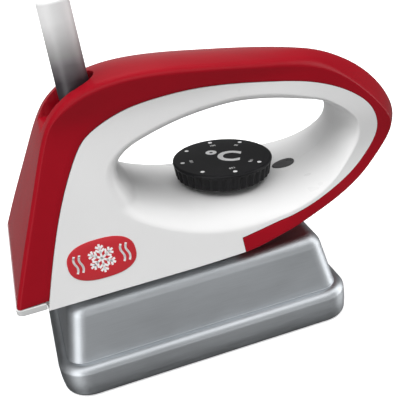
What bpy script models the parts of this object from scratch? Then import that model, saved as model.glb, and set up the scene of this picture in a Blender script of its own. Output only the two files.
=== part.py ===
# Waxing iron for skis and snowboards: aluminium sole, tapered heater cover, closed-loop handle
# in two white half shells under a one-piece red rim cover, thermostat dial on the saddle of the
# grip, swivelling cord boot.
# Frame: origin at the centre of the underside of the sole, +X toward the nose, +Y left, +Z up.
# Dimensions are in millimetres and angles in degrees; meshes are built in metres.
import math
from collections import namedtuple

import bmesh
import bpy
from mathutils import Matrix, Vector

for old_object in list(bpy.data.objects):
    bpy.data.objects.remove(old_object, do_unlink=True)
for old_mesh in list(bpy.data.meshes):
    bpy.data.meshes.remove(old_mesh)

PARTS = bpy.data.collections.new("waxing_iron")
CUTTERS = bpy.data.collections.new("cutters")
bpy.context.scene.collection.children.link(PARTS)
bpy.context.scene.collection.children.link(CUTTERS)

MILLIMETRE = 0.001

# ---------------------------------------------------------------- driving dimensions
CLEARANCE = 0.35                                # gap between stacked or seated pieces

SOLE_HALF_LENGTH, SOLE_HALF_WIDTH, SOLE_TOP = 72.5, 47.3, 16.4
SOLE_CORNER_R, SOLE_TOP_R, SOLE_BOTTOM_R = 14.4, 4.2, 2.0
SHEET_FOOT_Z = SOLE_TOP + 0.4                   # underside of the sheet-metal feet over the sole

COVER_BOTTOM, COVER_TOP = 16.75, 45.7           # tapered hood over the heater
COVER_BOTTOM_HALF = (67.6, 42.4)                # half length, half width at the bottom
COVER_TOP_HALF = (61.2, 41.3)                   # the same at the top
COVER_WALL, COVER_CORNER_R, COVER_TOP_R = 2.2, 8.5, 4.6

HANDLE_Z = 51.5                                 # flat underside of the handle
HEEL_X = -82.0
PLATE_T = 2.95                                  # handle bottom plate
SHELL_WALL = 2.4
JOINT_GAP = 0.36                                # visible joint between plastic pieces

STANDOFFS = {"rear_left": (-45.0, 33.0), "rear_right": (-45.0, -33.0),
             "front_left": (13.0, 33.0), "front_right": (13.0, -33.0)}
STANDOFF_R, STANDOFF_BORE_R = 4.0, 2.3
SHELL_SCREWS = {"rear": (-53.0, 62.5), "front": (2.0, 59.8)}      # x, z; axes along Y
CLAMP_X = -6.0                                  # element clamp and its screw
SPINDLE_HOLE = (26.3, 0, 0)                     # spindle passage through cover and pad
WIRE_HOLE = (-32.0, 0, 0)                       # wire passage through cover, pad and plate

DIAL_CENTRE = (29.4, 0.0, 79.0)                 # centre of the top face of the dial
DIAL_TILT = 5.3                                 # toward the nose
DIAL_R, DIAL_HEIGHT, DIAL_FLUTES = 24.5, 8.5, 36

PIVOT = (-33.0, 0.0, 117.0)                     # the cord swivel axis runs along Y through here
PIVOT_X, _, PIVOT_Z = PIVOT
WELL_HALF_WIDTH = 9.9                           # opening for the cord in the rim cover

# Half width of the handle against height: a sloping side that blends into an upright top.
SIDE_BASE_HALF, SIDE_SLOPE, SIDE_BASE_Z, SIDE_TOP_HALF = 44.7, 0.416, 54.9, 17.6
SIDE_BELOW_BASE, SIDE_BLEND = 0.8, 2.2
# Taper of the nose in plan: where it starts, its scale length, rate, exponent and greatest
# share, then the extra taper of the lower half, centred on a height with a spread.
NOSE_START_X, NOSE_LENGTH, NOSE_RATE, NOSE_POWER, NOSE_LIMIT = 45.0, 60.0, 0.54, 1.4, 0.6
NOSE_EXTRA, NOSE_EXTRA_Z, NOSE_EXTRA_SPREAD = 0.32, 74.0, 13.0
# Keel across the nose: share of the rise on the flanks, share of the half width taken by the
# round beside the side band, softness of the keel line.
KEEL_LIFT, KEEL_CORNER, KEEL_SOFT = 0.955, 0.09, 0.30

# Stations round the handle loop, clockwise from the heel as seen from the -Y side.
# Columns: x, z of the outer surface on the mid-plane; x, z of the outer edge of the side panel;
# x, z of the colour joint; x, z of the inner edge of the panel; x, z of the grip opening on the
# mid-plane; outer crown; outer edge rounding; inner edge rounding; share of the keel shape.
STATIONS = [
    (-68.5, 51.5, -68.5, 51.5, -68.2, 52.4, -29.0, 82.5, -17.0, 81.0, 0.1, 3.0, 11.0, 0.0),
    (-81.4, 54.9, -79.6, 54.9, -67.2, 55.4, -29.8, 85.5, -18.6, 83.6, 0.0, 3.0, 10.0, 0.0),
    (-72.9, 74.0, -70.7, 74.0, -59.7, 74.0, -31.0, 90.0, -21.2, 88.2, 0.0, 3.0, 8.0, 0.0),
    (-62.3, 96.0, -60.2, 96.2, -50.8, 92.5, -31.4, 95.5, -23.4, 93.0, 0.0, 3.0, 6.0, 0.0),
    (-52.1, 117.7, -49.6, 118.6, -38.9, 110.6, -28.7, 101.2, -23.2, 98.0, 0.1, 3.2, 5.0, 0.0),
    (-43.7, 127.6, -42.2, 125.0, -31.3, 115.9, -23.6, 105.4, -20.2, 101.9, 0.3, 3.6, 4.5, 0.0),
    (-32.8, 133.8, -31.2, 130.0, -23.1, 119.2, -16.5, 108.7, -14.6, 104.8, 0.35, 4.0, 4.5, 0.0),
    (-16.0, 136.6, -15.6, 132.8, -12.5, 122.0, -7.0, 111.4, -6.0, 107.1, 0.35, 4.0, 4.5, 0.0),
    (3.0, 135.8, 3.0, 132.0, 2.5, 123.2, 5.5, 113.9, 5.5, 109.6, 0.35, 4.0, 4.5, 0.0),
    (22.0, 133.1, 22.0, 129.2, 20.0, 123.0, 20.0, 115.6, 20.0, 111.2, 0.35, 4.0, 4.5, 0.0),
    (44.0, 129.2, 43.8, 125.6, 40.0, 120.4, 37.0, 115.8, 37.0, 111.5, 0.35, 4.0, 4.5, 0.0),
    (64.0, 125.9, 63.29, 121.4, 57.9, 116.82, 53.22, 112.98, 53.0, 108.9, 0.35, 5.0, 4.5, 0.0),
    (81.7, 122.7, 79.28, 116.56, 71.79, 113.06, 67.04, 108.2, 65.5, 105.2, 0.3, 6.0, 5.5, 0.45),
    (98.2, 114.1, 91.74, 109.13, 84.53, 107.67, 78.33, 103.55, 76.5, 101.8, 0.15, 8.0, 7.5, 0.9),
    (110.6, 103.7, 101.95, 99.19, 95.16, 100.93, 87.14, 97.07, 84.4, 96.8, 0.0, 9.0, 9.5, 1.0),
    (119.4, 91.4, 109.31, 89.89, 102.32, 93.76, 92.75, 91.08, 89.6, 91.9, 0.0, 9.0, 11.0, 1.0),
    (122.5, 80.1, 113.36, 82.26, 105.29, 85.37, 94.91, 85.18, 91.0, 87.8, 0.0, 9.0, 12.0, 1.0),
    (117.6, 70.5, 109.87, 75.64, 103.34, 78.08, 93.16, 78.67, 89.8, 82.6, 0.0, 9.0, 12.0, 1.0),
    (108.8, 63.3, 102.22, 69.37, 96.41, 71.88, 87.44, 73.53, 85.2, 77.6, 0.0, 9.0, 12.0, 1.0),
    (95.1, 57.5, 90.77, 63.41, 86.7, 67.03, 79.68, 69.12, 78.8, 71.8, 0.0, 9.0, 12.5, 1.0),
    (77.6, 53.8, 75.55, 59.9, 73.36, 64.01, 69.89, 65.22, 68.4, 68.2, 0.0, 8.0, 13.0, 1.0),
    (60.4, 52.1, 59.07, 58.02, 57.74, 62.03, 56.29, 63.23, 56.8, 66.9, 0.0, 7.0, 13.0, 1.0),
    (45.0, 51.5, 43.6, 55.8, 43.2, 61.0, 42.5, 62.3, 43.0, 66.9, 0.0, 5.0, 13.0, 0.85),
    (31.0, 51.5, 31.0, 53.2, 31.0, 59.2, 30.5, 61.0, 30.5, 68.2, 0.0, 3.0, 11.5, 0.45),
    (22.0, 51.5, 22.0, 52.0, 22.0, 58.0, 18.0, 61.4, 18.0, 69.4, 0.0, 1.5, 12.0, 0.0),
    (0.0, 51.5, 0.0, 51.5, 0.0, 56.5, 1.5, 64.6, 6.0, 71.2, 0.0, 1.5, 12.0, 0.0),
    (-26.0, 51.5, -26.0, 51.5, -24.0, 57.0, -13.5, 71.0, -4.5, 74.6, 0.0, 1.5, 12.0, 0.0),
    (-52.0, 51.5, -52.0, 51.5, -48.0, 56.5, -24.0, 77.2, -12.5, 78.2, 0.0, 1.5, 12.0, 0.0),
]
Station = namedtuple("Station", "outer_mid outer_edge joint inner_edge inner_mid "
                                "outer_crown outer_round inner_round keel")
INNER_CROWN = 0.3
OUTER_COLUMNS = 6                               # leading columns that turn sharply at corners
RED_FIRST, RED_LAST = 1, 24                     # the red rim runs between these stations
CORNERS = {0, 1, 24}                            # stations where the outer line has a corner
HALVED_SPANS = {*range(1, 6), *range(12, 19), *range(25, 28)}    # spans meshed in two steps
OUTER_FLAT_STEPS, OUTER_ARC_STEPS, PANEL_STEPS, INNER_ARC_STEPS, INNER_FLAT_STEPS = 1, 4, 2, 4, 2

# ---------------------------------------------------------------- finishes
Finish = namedtuple("Finish", "colour roughness metallic", defaults=(0.0,))

WHITE, RED, STEEL = (0.80, 0.80, 0.80), (0.50, 0.008, 0.02), (0.55, 0.55, 0.56)

ALUMINIUM = Finish((0.62, 0.64, 0.66), roughness=0.35, metallic=1.0)
SCREW_STEEL = Finish(STEEL, roughness=0.35, metallic=1.0)
PLAIN_STEEL = Finish(STEEL, roughness=0.4, metallic=1.0)
SPINDLE_STEEL = Finish(STEEL, roughness=0.3, metallic=1.0)
BRASS = Finish((0.70, 0.50, 0.20), roughness=0.35, metallic=1.0)
BIMETAL = Finish((0.50, 0.42, 0.34), roughness=0.4, metallic=1.0)
ELEMENT_METAL = Finish((0.25, 0.24, 0.23), roughness=0.5, metallic=1.0)
PLATE_WHITE = Finish(WHITE, roughness=0.4)
SHELL_WHITE = Finish(WHITE, roughness=0.35)
RIM_RED = Finish(RED, roughness=0.25)
WELL_RED = Finish(RED, roughness=0.35)
BADGE_RED = Finish((0.55, 0.02, 0.03), roughness=0.3)
DIAL_BLACK = Finish((0.02, 0.02, 0.022), roughness=0.45)
BALL_GREY = Finish((0.20, 0.20, 0.21), roughness=0.5)
BOOT_GREY = Finish((0.22, 0.22, 0.24), roughness=0.55)
CORD_GREY = Finish((0.12, 0.12, 0.13), roughness=0.5)
CERAMIC = Finish((0.75, 0.72, 0.66), roughness=0.6)
FUSE_BODY = Finish((0.65, 0.62, 0.55), roughness=0.4)
PAD_FIBRE = Finish((0.62, 0.58, 0.50), roughness=0.9)
LENS_DARK = Finish((0.09, 0.09, 0.10), roughness=0.2)
LAMP_GLASS = Finish((0.8, 0.45, 0.3), roughness=0.15)
BLOCK_CREAM = Finish((0.85, 0.84, 0.78), roughness=0.5)
LIVE_BROWN = Finish((0.30, 0.12, 0.05), roughness=0.5)
NEUTRAL_BLUE = Finish((0.05, 0.15, 0.5), roughness=0.5)
EARTH_GREEN = Finish((0.35, 0.5, 0.05), roughness=0.5)
LEAD_SLEEVE = Finish((0.75, 0.75, 0.72), roughness=0.6)


def paint(obj, finish):
    """Give the object its own material, named after it."""
    material = bpy.data.materials.new(obj.name)
    material.use_nodes = True
    shader = material.node_tree.nodes["Principled BSDF"]
    shader.inputs["Base Color"].default_value = (*finish.colour, 1.0)
    shader.inputs["Roughness"].default_value = finish.roughness
    shader.inputs["Metallic"].default_value = finish.metallic
    material.diffuse_color = (*finish.colour, 1.0)
    obj.data.materials.clear()
    obj.data.materials.append(material)


# ---------------------------------------------------------------- mesh helpers
def link_mesh(name, mesh, collection):
    """New object in a collection; cutters are hidden from renders and drawn as wire."""
    obj = bpy.data.objects.new(name, mesh)
    collection.objects.link(obj)
    if collection is CUTTERS:
        obj.hide_render = True
        obj.display_type = "WIRE"
    return obj


def tidy(mesh, dissolve=True):
    """Merge coincident vertices, drop degenerate faces and turn the normals outward."""
    work = bmesh.new()
    work.from_mesh(mesh)
    bmesh.ops.remove_doubles(work, verts=work.verts, dist=2e-6)
    if dissolve:
        bmesh.ops.dissolve_degenerate(work, edges=work.edges, dist=1e-6)
    bmesh.ops.recalc_face_normals(work, faces=work.faces)
    work.to_mesh(mesh)
    work.free()


def mesh_object(name, points, faces):
    """Part from points in millimetres and faces."""
    mesh = bpy.data.meshes.new(name)
    mesh.from_pydata([tuple(Vector(p) * MILLIMETRE) for p in points], [], faces)
    tidy(mesh)
    return link_mesh(name, mesh, PARTS)


def bake(obj):
    """Replace the object's data by its evaluated mesh and clear the modifiers."""
    bpy.context.view_layer.update()
    graph = bpy.context.evaluated_depsgraph_get()
    graph.update()
    mesh = bpy.data.meshes.new_from_object(obj.evaluated_get(graph))
    obj.modifiers.clear()
    obj.data = mesh
    mesh.name = obj.name
    tidy(mesh)


def combine(obj, others, operation):
    for other in others:
        boolean = obj.modifiers.new("boolean", "BOOLEAN")
        boolean.operation = operation
        boolean.solver = "EXACT"
        boolean.object = other
        bake(obj)


def cut(obj, *cutters):
    combine(obj, cutters, "DIFFERENCE")


def join(obj, *additions):
    combine(obj, additions, "UNION")


def place(obj, centre, tilt=0.0, axis="Z"):
    """Turn the mesh from Z onto the axis, or tilt it about Y, then set the origin."""
    angle, about = {"X": (90, "Y"), "Y": (-90, "X"), "Z": (tilt, "Y")}[axis]
    obj.data.transform(Matrix.Rotation(math.radians(angle), 4, about))
    obj.location = Vector(centre) * MILLIMETRE
    bpy.context.view_layer.update()


def lathe(name, profile, segments, centre=(0, 0, 0), tilt=0.0, axis="Z", collection=PARTS):
    """Solid of revolution from (radius, height) points, top first; closed if off the axis."""
    points = [(radius * MILLIMETRE, 0.0, z * MILLIMETRE) for radius, z in profile]
    edges = [(k, k + 1) for k in range(len(points) - 1)]
    if profile[0][0] > 0:
        edges.append((len(points) - 1, 0))
    mesh = bpy.data.meshes.new(name)
    mesh.from_pydata(points, edges, [])
    obj = link_mesh(name, mesh, collection)
    screw_turn = obj.modifiers.new("turn", "SCREW")
    screw_turn.axis = "Z"
    screw_turn.steps = screw_turn.render_steps = segments
    screw_turn.use_merge_vertices = True
    screw_turn.merge_threshold = 0.000001
    screw_turn.use_smooth_shade = False
    bake(obj)
    place(obj, centre, tilt, axis)
    return obj


def cylinder(name, radius, bottom, top, segments, centre=(0, 0, 0), tilt=0.0, axis="Z",
             collection=PARTS):
    profile = [(0, top), (radius, top), (radius, bottom), (0, bottom)]
    return lathe(name, profile, segments, centre, tilt, axis, collection)


def cylinder_cutter(name, radius, bottom, top, segments, centre=(0, 0, 0), tilt=0.0, axis="Z"):
    return cylinder(name, radius, bottom, top, segments, centre, tilt, axis, CUTTERS)


def standoff_cutters(prefix, radius, bottom, top, segments):
    """One cylinder on each standoff axis."""
    return [cylinder_cutter(prefix + key, radius, bottom, top, segments, (x, y, 0))
            for key, (x, y) in STANDOFFS.items()]


def tube(name, radius, bore, bottom, top, segments, centre, tilt=0.0):
    """Tube with both outer edges chamfered."""
    chamfer = 0.3
    profile = [(bore, top), (radius - chamfer, top), (radius, top - chamfer),
               (radius, bottom + chamfer), (radius - chamfer, bottom), (bore, bottom)]
    return lathe(name, profile, segments, centre, tilt)


def screw(name, centre, seat, recess, crown, rim, head_r, shank_r, shank_end, tip, axis="Z"):
    """Screw with a recessed head; recess, crown and rim are (radius, height over the seat)."""
    head = [(radius, seat + height) for radius, height in ((0, recess[1]), recess, crown, rim)]
    shank = [(head_r, seat), (shank_r, seat), (shank_r, shank_end), (0, tip)]
    paint(lathe(name, head + shank, 12, centre, axis=axis), SCREW_STEEL)


def box(name, low, high, bevel=0.0):
    """Box between two opposite corners, with an optional chamfer on its edges."""
    centre = [(a + b) / 2 for a, b in zip(low, high)]
    half = [(b - a) / 2 for a, b in zip(low, high)]
    work = bmesh.new()
    bmesh.ops.create_cube(work, size=2.0)
    for vertex in work.verts:
        vertex.co = Vector([(c + u * h) * MILLIMETRE for c, u, h in zip(centre, vertex.co, half)])
    mesh = bpy.data.meshes.new(name)
    work.to_mesh(mesh)
    work.free()
    obj = link_mesh(name, mesh, PARTS)
    if bevel > 0:
        edge = obj.modifiers.new("bevel", "BEVEL")
        edge.width = bevel * MILLIMETRE
        edge.segments = 1
        edge.limit_method = "ANGLE"
        bake(obj)
    return obj


def prism(name, outline, low, high, plane="XY", collection=PARTS):
    """Outline in the given plane, extruded between low and high along the third axis."""
    def spot(point, level):
        return Vector({"XY": (point[0], point[1], level),
                       "XZ": (point[0], level, point[1]),
                       "YZ": (level, point[0], point[1])}[plane])

    work = bmesh.new()
    face = work.faces.new([work.verts.new(spot(p, low) * MILLIMETRE) for p in outline])
    grown = bmesh.ops.extrude_face_region(work, geom=[face])["geom"]
    shift = spot((0, 0), high) - spot((0, 0), low)
    bmesh.ops.translate(work, vec=shift * MILLIMETRE,
                        verts=[item for item in grown if isinstance(item, bmesh.types.BMVert)])
    bmesh.ops.recalc_face_normals(work, faces=work.faces)
    mesh = bpy.data.meshes.new(name)
    work.to_mesh(mesh)
    work.free()
    return link_mesh(name, mesh, collection)


def loft(name, rings):
    """Skin through closed rings of equal point count, capped at the first and the last."""
    count = len(rings[0])
    last = (len(rings) - 1) * count
    faces = [list(range(count)), list(range(last, last + count))]
    for start in range(0, last, count):
        for k in range(count):
            after = (k + 1) % count
            faces.append([start + k, start + after, start + count + after, start + count + k])
    return mesh_object(name, [point for ring in rings for point in ring], faces)


def wire(name, points, radius):
    """Round wire along a polyline, made from a bevelled curve."""
    curve = bpy.data.curves.new(name, "CURVE")
    curve.dimensions = "3D"
    curve.bevel_depth = radius * MILLIMETRE
    curve.bevel_resolution = 2
    curve.use_fill_caps = True
    path = curve.splines.new("POLY")
    path.points.add(len(points) - 1)
    for target, point in zip(path.points, points):
        target.co = (*[c * MILLIMETRE for c in point], 1.0)
    holder = bpy.data.objects.new(name + "_curve", curve)
    PARTS.objects.link(holder)
    bpy.context.view_layer.update()
    graph = bpy.context.evaluated_depsgraph_get()
    mesh = bpy.data.meshes.new_from_object(holder.evaluated_get(graph))
    bpy.data.objects.remove(holder, do_unlink=True)
    tidy(mesh, dissolve=False)
    return link_mesh(name, mesh, PARTS)


def smooth_path(controls):
    """Catmull-Rom path through the control points, two steps per span."""
    steps = 2
    last = len(controls) - 1
    path = []
    for i in range(last):
        before, start, end, after = [Vector(controls[min(max(k, 0), last)])
                                     for k in range(i - 1, i + 3)]
        for k in range(steps):
            t = k / steps
            path.append(0.5 * (2 * start + (end - before) * t
                               + (2 * before - 5 * start + 4 * end - after) * t * t
                               + (3 * start - before - 3 * end + after) * t ** 3))
    path.append(Vector(controls[-1]))
    return path


def arc(centre_u, centre_v, radius, start, end, steps):
    """Points on an arc, both ends included."""
    angles = [math.radians(start + (end - start) * k / steps) for k in range(steps + 1)]
    return [(centre_u + radius * math.cos(a), centre_v + radius * math.sin(a)) for a in angles]


def quarter_turn(steps):
    """(sine, cosine) pairs from 0 to 90 degrees."""
    angles = [math.radians(90 * k / steps) for k in range(steps + 1)]
    return [(math.sin(a), math.cos(a)) for a in angles]


def rounded_ring(z, half_x, half_y, radius):
    """Rounded rectangle at height z, four steps per corner."""
    points = []
    for x_sign, y_sign, start in ((1, 1, 0), (-1, 1, 90), (-1, -1, 180), (1, -1, 270)):
        points += arc(x_sign * (half_x - radius), y_sign * (half_y - radius), radius,
                      start, start + 90, 4)
    return [(x, y, z) for x, y in points]


# ---------------------------------------------------------------- form of the handle
def half_width(z):
    sloping = SIDE_BASE_HALF - SIDE_SLOPE * max(z - SIDE_BASE_Z, -SIDE_BELOW_BASE)
    excess = sloping - SIDE_TOP_HALF
    return SIDE_TOP_HALF + 0.5 * (excess + math.sqrt(excess * excess + SIDE_BLEND))


def side_y(x, z):
    """Half width at a point of the side face, with the nose tapered in plan."""
    width = half_width(z)
    if x > NOSE_START_X:
        low = 1.0 + NOSE_EXTRA * math.exp(-((z - NOSE_EXTRA_Z) / NOSE_EXTRA_SPREAD) ** 2)
        reach = ((x - NOSE_START_X) / NOSE_LENGTH) ** NOSE_POWER
        width *= 1.0 - NOSE_LIMIT * math.tanh(NOSE_RATE / NOSE_LIMIT * reach * low)
    return width


def station(t):
    """Station at loop parameter t: cubic through the table, broken at the corner stations."""
    count = len(STATIONS)
    row = math.floor(t + 1e-9)
    part = t - row
    if part < 1e-7:
        part = 0.0
    before, start, end, after = [STATIONS[(row + k) % count] for k in (-1, 0, 1, 2)]
    start_corner = row % count in CORNERS
    end_corner = (row + 1) % count in CORNERS
    square, cube = part * part, part * part * part
    values = []
    for k in range(len(start)):
        step = end[k] - start[k]
        start_slope = (end[k] - before[k]) * 0.5
        end_slope = (after[k] - start[k]) * 0.5
        if start_corner and k < OUTER_COLUMNS:
            start_slope = step if end_corner else 1.5 * step - 0.5 * end_slope
        if end_corner and k < OUTER_COLUMNS:
            end_slope = step if start_corner else 1.5 * step - 0.5 * start_slope
        values.append((2 * cube - 3 * square + 1) * start[k]
                      + (cube - 2 * square + part) * start_slope
                      + (-2 * cube + 3 * square) * end[k]
                      + (cube - square) * end_slope)
    return Station(*zip(values[0:10:2], values[1:10:2]), *values[10:])


def keel_hull(across):
    """Rounded keel line with straight flanks."""
    rise = math.sqrt(across * across + KEEL_SOFT * KEEL_SOFT) - KEEL_SOFT
    return KEEL_LIFT * rise / (math.sqrt(1 + KEEL_SOFT * KEEL_SOFT) - KEEL_SOFT)


def keel_rise(across):
    """Keel shape from mid-plane (0) to side (1), with a small round where it meets the side."""
    if across <= 1 - KEEL_CORNER:
        return keel_hull(across)
    part = (across - 1 + KEEL_CORNER) / KEEL_CORNER
    u = 1 - math.sqrt(max(0.0, 1 - part))
    return (1 - u) ** 2 * keel_hull(1 - KEEL_CORNER) + 2 * u * (1 - u) * KEEL_LIFT + u * u


def section_columns():
    """(zone, curved, value) of each section point, from outer mid-plane to inner mid-plane.

    Value is a share of the flat, an angle on the arc, a share of the panel, or, at the colour
    joint, a share of its gap.
    """
    right_angle = math.pi / 2
    cols = [("outer", False, k / OUTER_FLAT_STEPS) for k in range(OUTER_FLAT_STEPS)]
    cols += [("outer", True, right_angle * k / OUTER_ARC_STEPS)
             for k in range(OUTER_ARC_STEPS + 1)]
    cols += [("joint", False, -0.5), ("joint", False, 0.5)]
    cols += [("panel", False, k / PANEL_STEPS) for k in range(1, PANEL_STEPS)]
    cols += [("inner", True, right_angle * k / INNER_ARC_STEPS)
             for k in range(INNER_ARC_STEPS, -1, -1)]
    cols += [("inner", False, k / INNER_FLAT_STEPS) for k in range(INNER_FLAT_STEPS - 1, -1, -1)]
    return cols


COLUMNS = section_columns()
EDGE_COLUMN = OUTER_FLAT_STEPS + OUTER_ARC_STEPS     # outer edge of the side panel
JOINT_COLUMN = EDGE_COLUMN + 1                       # red side of the colour joint


def crossing_point(middle, edge, curved, value, rounding, crown, keel, min_y):
    """Point on the outer or inner face between its mid-plane line and the panel edge."""
    share = min(0.98, max(0.03, rounding / side_y(edge.x, edge.y)))
    if curved:
        across = 1 - share + share * math.sin(value)
        drop = 1 - math.cos(value)
    else:
        across = (1 - share) * value
        drop = 0.0
    plain = crown * across * across + (1 - crown) * drop
    point = middle + (edge - middle) * ((1 - keel) * plain + keel * keel_rise(across))
    return Vector((point.x, max(min_y, across * side_y(point.x, point.y)), point.y))


def section(t, min_y):
    """Points of one section; min_y is half the gap left on the mid-plane."""
    here = station(t)
    outer_mid, outer_edge, joint, inner_edge, inner_mid = [Vector(p) for p in here[:5]]
    panel = inner_edge - outer_edge
    panel_way = panel / max(panel.length, 1e-6)
    points = []
    for zone, curved, value in COLUMNS:
        if zone == "outer":
            points.append(crossing_point(outer_mid, outer_edge, curved, value, here.outer_round,
                                         here.outer_crown, here.keel, min_y))
        elif zone == "inner":
            points.append(crossing_point(inner_mid, inner_edge, curved, value, here.inner_round,
                                         INNER_CROWN, 0.0, min_y))
        else:
            if zone == "joint":
                point = joint + panel_way * (JOINT_GAP * value)
            else:
                point = joint + (inner_edge - joint) * value
            points.append(Vector((point.x, side_y(point.x, point.y), point.y)))
    return points


def section_places():
    """Loop parameters of the sections, with the joint gap opened at the end of the red rim."""
    places = []
    for k in range(len(STATIONS)):
        if k != RED_LAST:
            places.append(float(k))
        if k in HALVED_SPANS:
            places.append(k + 0.5)
    edge_x = [STATIONS[RED_LAST + k][2] for k in (-1, 0, 1)]
    places.append(RED_LAST - 0.5 * JOINT_GAP / abs(edge_x[1] - edge_x[0]))
    places.append(RED_LAST + 0.5 * JOINT_GAP / abs(edge_x[2] - edge_x[1]))
    return sorted(places)


def patch_quads(places, red):
    """Grid quads of the red rim or of one white shell, as lists of (row, column)."""
    rows = len(places)
    quads = []
    for i in range(rows):
        start = places[i]
        end = places[i + 1] if i + 1 < rows else len(STATIONS)
        on_rim = start >= RED_FIRST - 1e-6 and end <= RED_LAST + 1e-6
        on_bottom = start > RED_LAST
        for j in range(len(COLUMNS) - 1):
            if red:
                wanted = on_rim and j < JOINT_COLUMN
            else:
                wanted = j > JOINT_COLUMN or (on_bottom and j >= EDGE_COLUMN)
            if wanted:
                after = (i + 1) % rows
                quads.append([(i, j), (after, j), (after, j + 1), (i, j + 1)])
    return quads


def patch_normals(grid, quads, used):
    """Vertex normals of the patch, kept in the mid-plane at its two end columns."""
    normals = {key: Vector((0, 0, 0)) for key in used}
    for quad in quads:
        corners = [grid[i][j] for i, j in quad]
        normal = (corners[2] - corners[0]).cross(corners[3] - corners[1])
        if normal.length < 1e-9:
            continue
        normal.normalize()
        for key in quad:
            normals[key] += normal
    outward = 0.0
    for i, j in used:
        normal = normals[(i, j)]
        if j in (0, len(COLUMNS) - 1):
            normal.y = 0.0
        if normal.length < 1e-9:
            normal = Vector((0, 1, 0))
        normal.normalize()
        normals[(i, j)] = normal
        centre = sum(grid[i], Vector((0, 0, 0))) / len(COLUMNS)
        centre.y *= 0.3
        outward += (grid[i][j] - centre).dot(normal)
    sign = 1.0 if outward > 0 else -1.0
    return [normals[key] * sign for key in used]


def handle_skin(name, red=False, mirrored=False):
    """One moulding: its patch of the loop, an inner wall at constant thickness, and the edges."""
    min_y = 0.0 if red else 0.17
    places = section_places()
    grid = [section(t, min_y) for t in places]
    quads = patch_quads(places, red)
    used = sorted({key for quad in quads for key in quad})
    outside = [grid[i][j] for i, j in used]
    inside = []
    for (i, j), normal, point in zip(used, patch_normals(grid, quads, used), outside):
        offset = point - normal * SHELL_WALL
        if not red and abs(point.z - HANDLE_Z) < 1e-6:
            # the white shell keeps its flat underside
            offset = Vector((offset.x, point.y - SHELL_WALL, point.z))
        if red and abs(places[i] - RED_FIRST) < 1e-6:
            # the rim ends level at the heel
            offset.z = point.z
        if j in (0, len(COLUMNS) - 1):
            offset.y = point.y
        offset.y = max(offset.y, min_y)
        inside.append(offset)

    index = {key: k for k, key in enumerate(used)}
    count = len(used)
    faces = []
    edges = set()
    for quad in quads:
        face = [index[key] for key in quad]
        faces.append(face)
        faces.append([count + k for k in reversed(face)])
        edges.update(zip(face, face[1:] + face[:1]))
    for a, b in edges:
        on_mid_plane = red and outside[a].y < 1e-6 and outside[b].y < 1e-6
        if (b, a) not in edges and not on_mid_plane:
            faces.append([b, a, count + a, count + b])

    points = outside + inside
    flipped = [Vector((p.x, -p.y, p.z)) for p in points]
    if red:
        # one moulding over both sides: the mirrored half joins on the mid-plane
        faces += [[len(points) + k for k in reversed(face)] for face in faces]
        points = points + flipped
    elif mirrored:
        points = flipped
    return mesh_object(name, points, faces)


# The saddle is the lower side of the grip opening, sampled from the nose back to the heel.
SADDLE = [station(17.0 + 11.0 * k / 600) for k in range(601)]


def saddle_z(x, y):
    """Height of the saddle surface, from the sampled station nearest in x."""
    near = min(SADDLE, key=lambda sample: abs(sample.inner_mid[0] - x))
    mid_z, edge_z = near.inner_mid[1], near.inner_edge[1]
    across = min(abs(y) / side_y(*near.inner_edge), 1.0)
    return mid_z + (edge_z - mid_z) * INNER_CROWN * across * across


# ---------------------------------------------------------------- sole and heater cover
def build_sole():
    rings = []
    for sine, cosine in quarter_turn(3):
        inset = SOLE_BOTTOM_R * (1 - sine)
        rings.append(rounded_ring(SOLE_BOTTOM_R * (1 - cosine), SOLE_HALF_LENGTH - inset,
                                  SOLE_HALF_WIDTH - inset, SOLE_CORNER_R - inset))
    for sine, cosine in quarter_turn(4):
        inset = SOLE_TOP_R * (1 - cosine)
        rings.append(rounded_ring(SOLE_TOP - SOLE_TOP_R * (1 - sine), SOLE_HALF_LENGTH - inset,
                                  SOLE_HALF_WIDTH - inset, SOLE_CORNER_R - inset))
    sole = loft("sole_plate", rings)
    cut(sole,
        *standoff_cutters("sole_hole_", radius=2.3, bottom=6.0, top=20.0, segments=12),
        cylinder_cutter("sole_hole_clamp", radius=1.9, bottom=8.0, top=20.0, segments=12,
                        centre=(CLAMP_X, 0, 0)))
    paint(sole, ALUMINIUM)


def cover_ring(z, inset, radius):
    """Ring of the tapered cover at height z, set in from its outer face."""
    share = (z - COVER_BOTTOM) / (COVER_TOP - COVER_BOTTOM)
    half_x, half_y = [low + (high - low) * share - inset
                      for low, high in zip(COVER_BOTTOM_HALF, COVER_TOP_HALF)]
    return rounded_ring(z, half_x, half_y, radius)


def build_cover():
    outer = [cover_ring(COVER_BOTTOM, 0, COVER_CORNER_R)]
    for sine, cosine in quarter_turn(4):
        inset = COVER_TOP_R * (1 - cosine)
        outer.append(cover_ring(COVER_TOP - COVER_TOP_R * (1 - sine), inset,
                                max(2.0, COVER_CORNER_R - inset * 0.9)))
    inner_corner_r = COVER_CORNER_R - COVER_WALL
    inner_top_r = COVER_TOP_R - COVER_WALL
    inner = [cover_ring(COVER_BOTTOM, COVER_WALL, inner_corner_r)]
    for sine, cosine in quarter_turn(2):
        inset = inner_top_r * (1 - cosine)
        inner.append(cover_ring(COVER_TOP - COVER_WALL - inner_top_r * (1 - sine),
                                COVER_WALL + inset, max(1.2, inner_corner_r - inset)))
    # from the inner ceiling down, round the open bottom and up the outside
    cover = loft("heater_cover", inner[::-1] + outer)
    cut(cover,
        *standoff_cutters("cover_hole_", STANDOFF_R + 0.4, bottom=30.0, top=60.0, segments=16),
        cylinder_cutter("cover_hole_spindle", 8.0, 30.0, 60.0, 20, SPINDLE_HOLE),
        cylinder_cutter("cover_hole_wires", 6.0, 30.0, 60.0, 16, WIRE_HOLE))
    paint(cover, ALUMINIUM)


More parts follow.
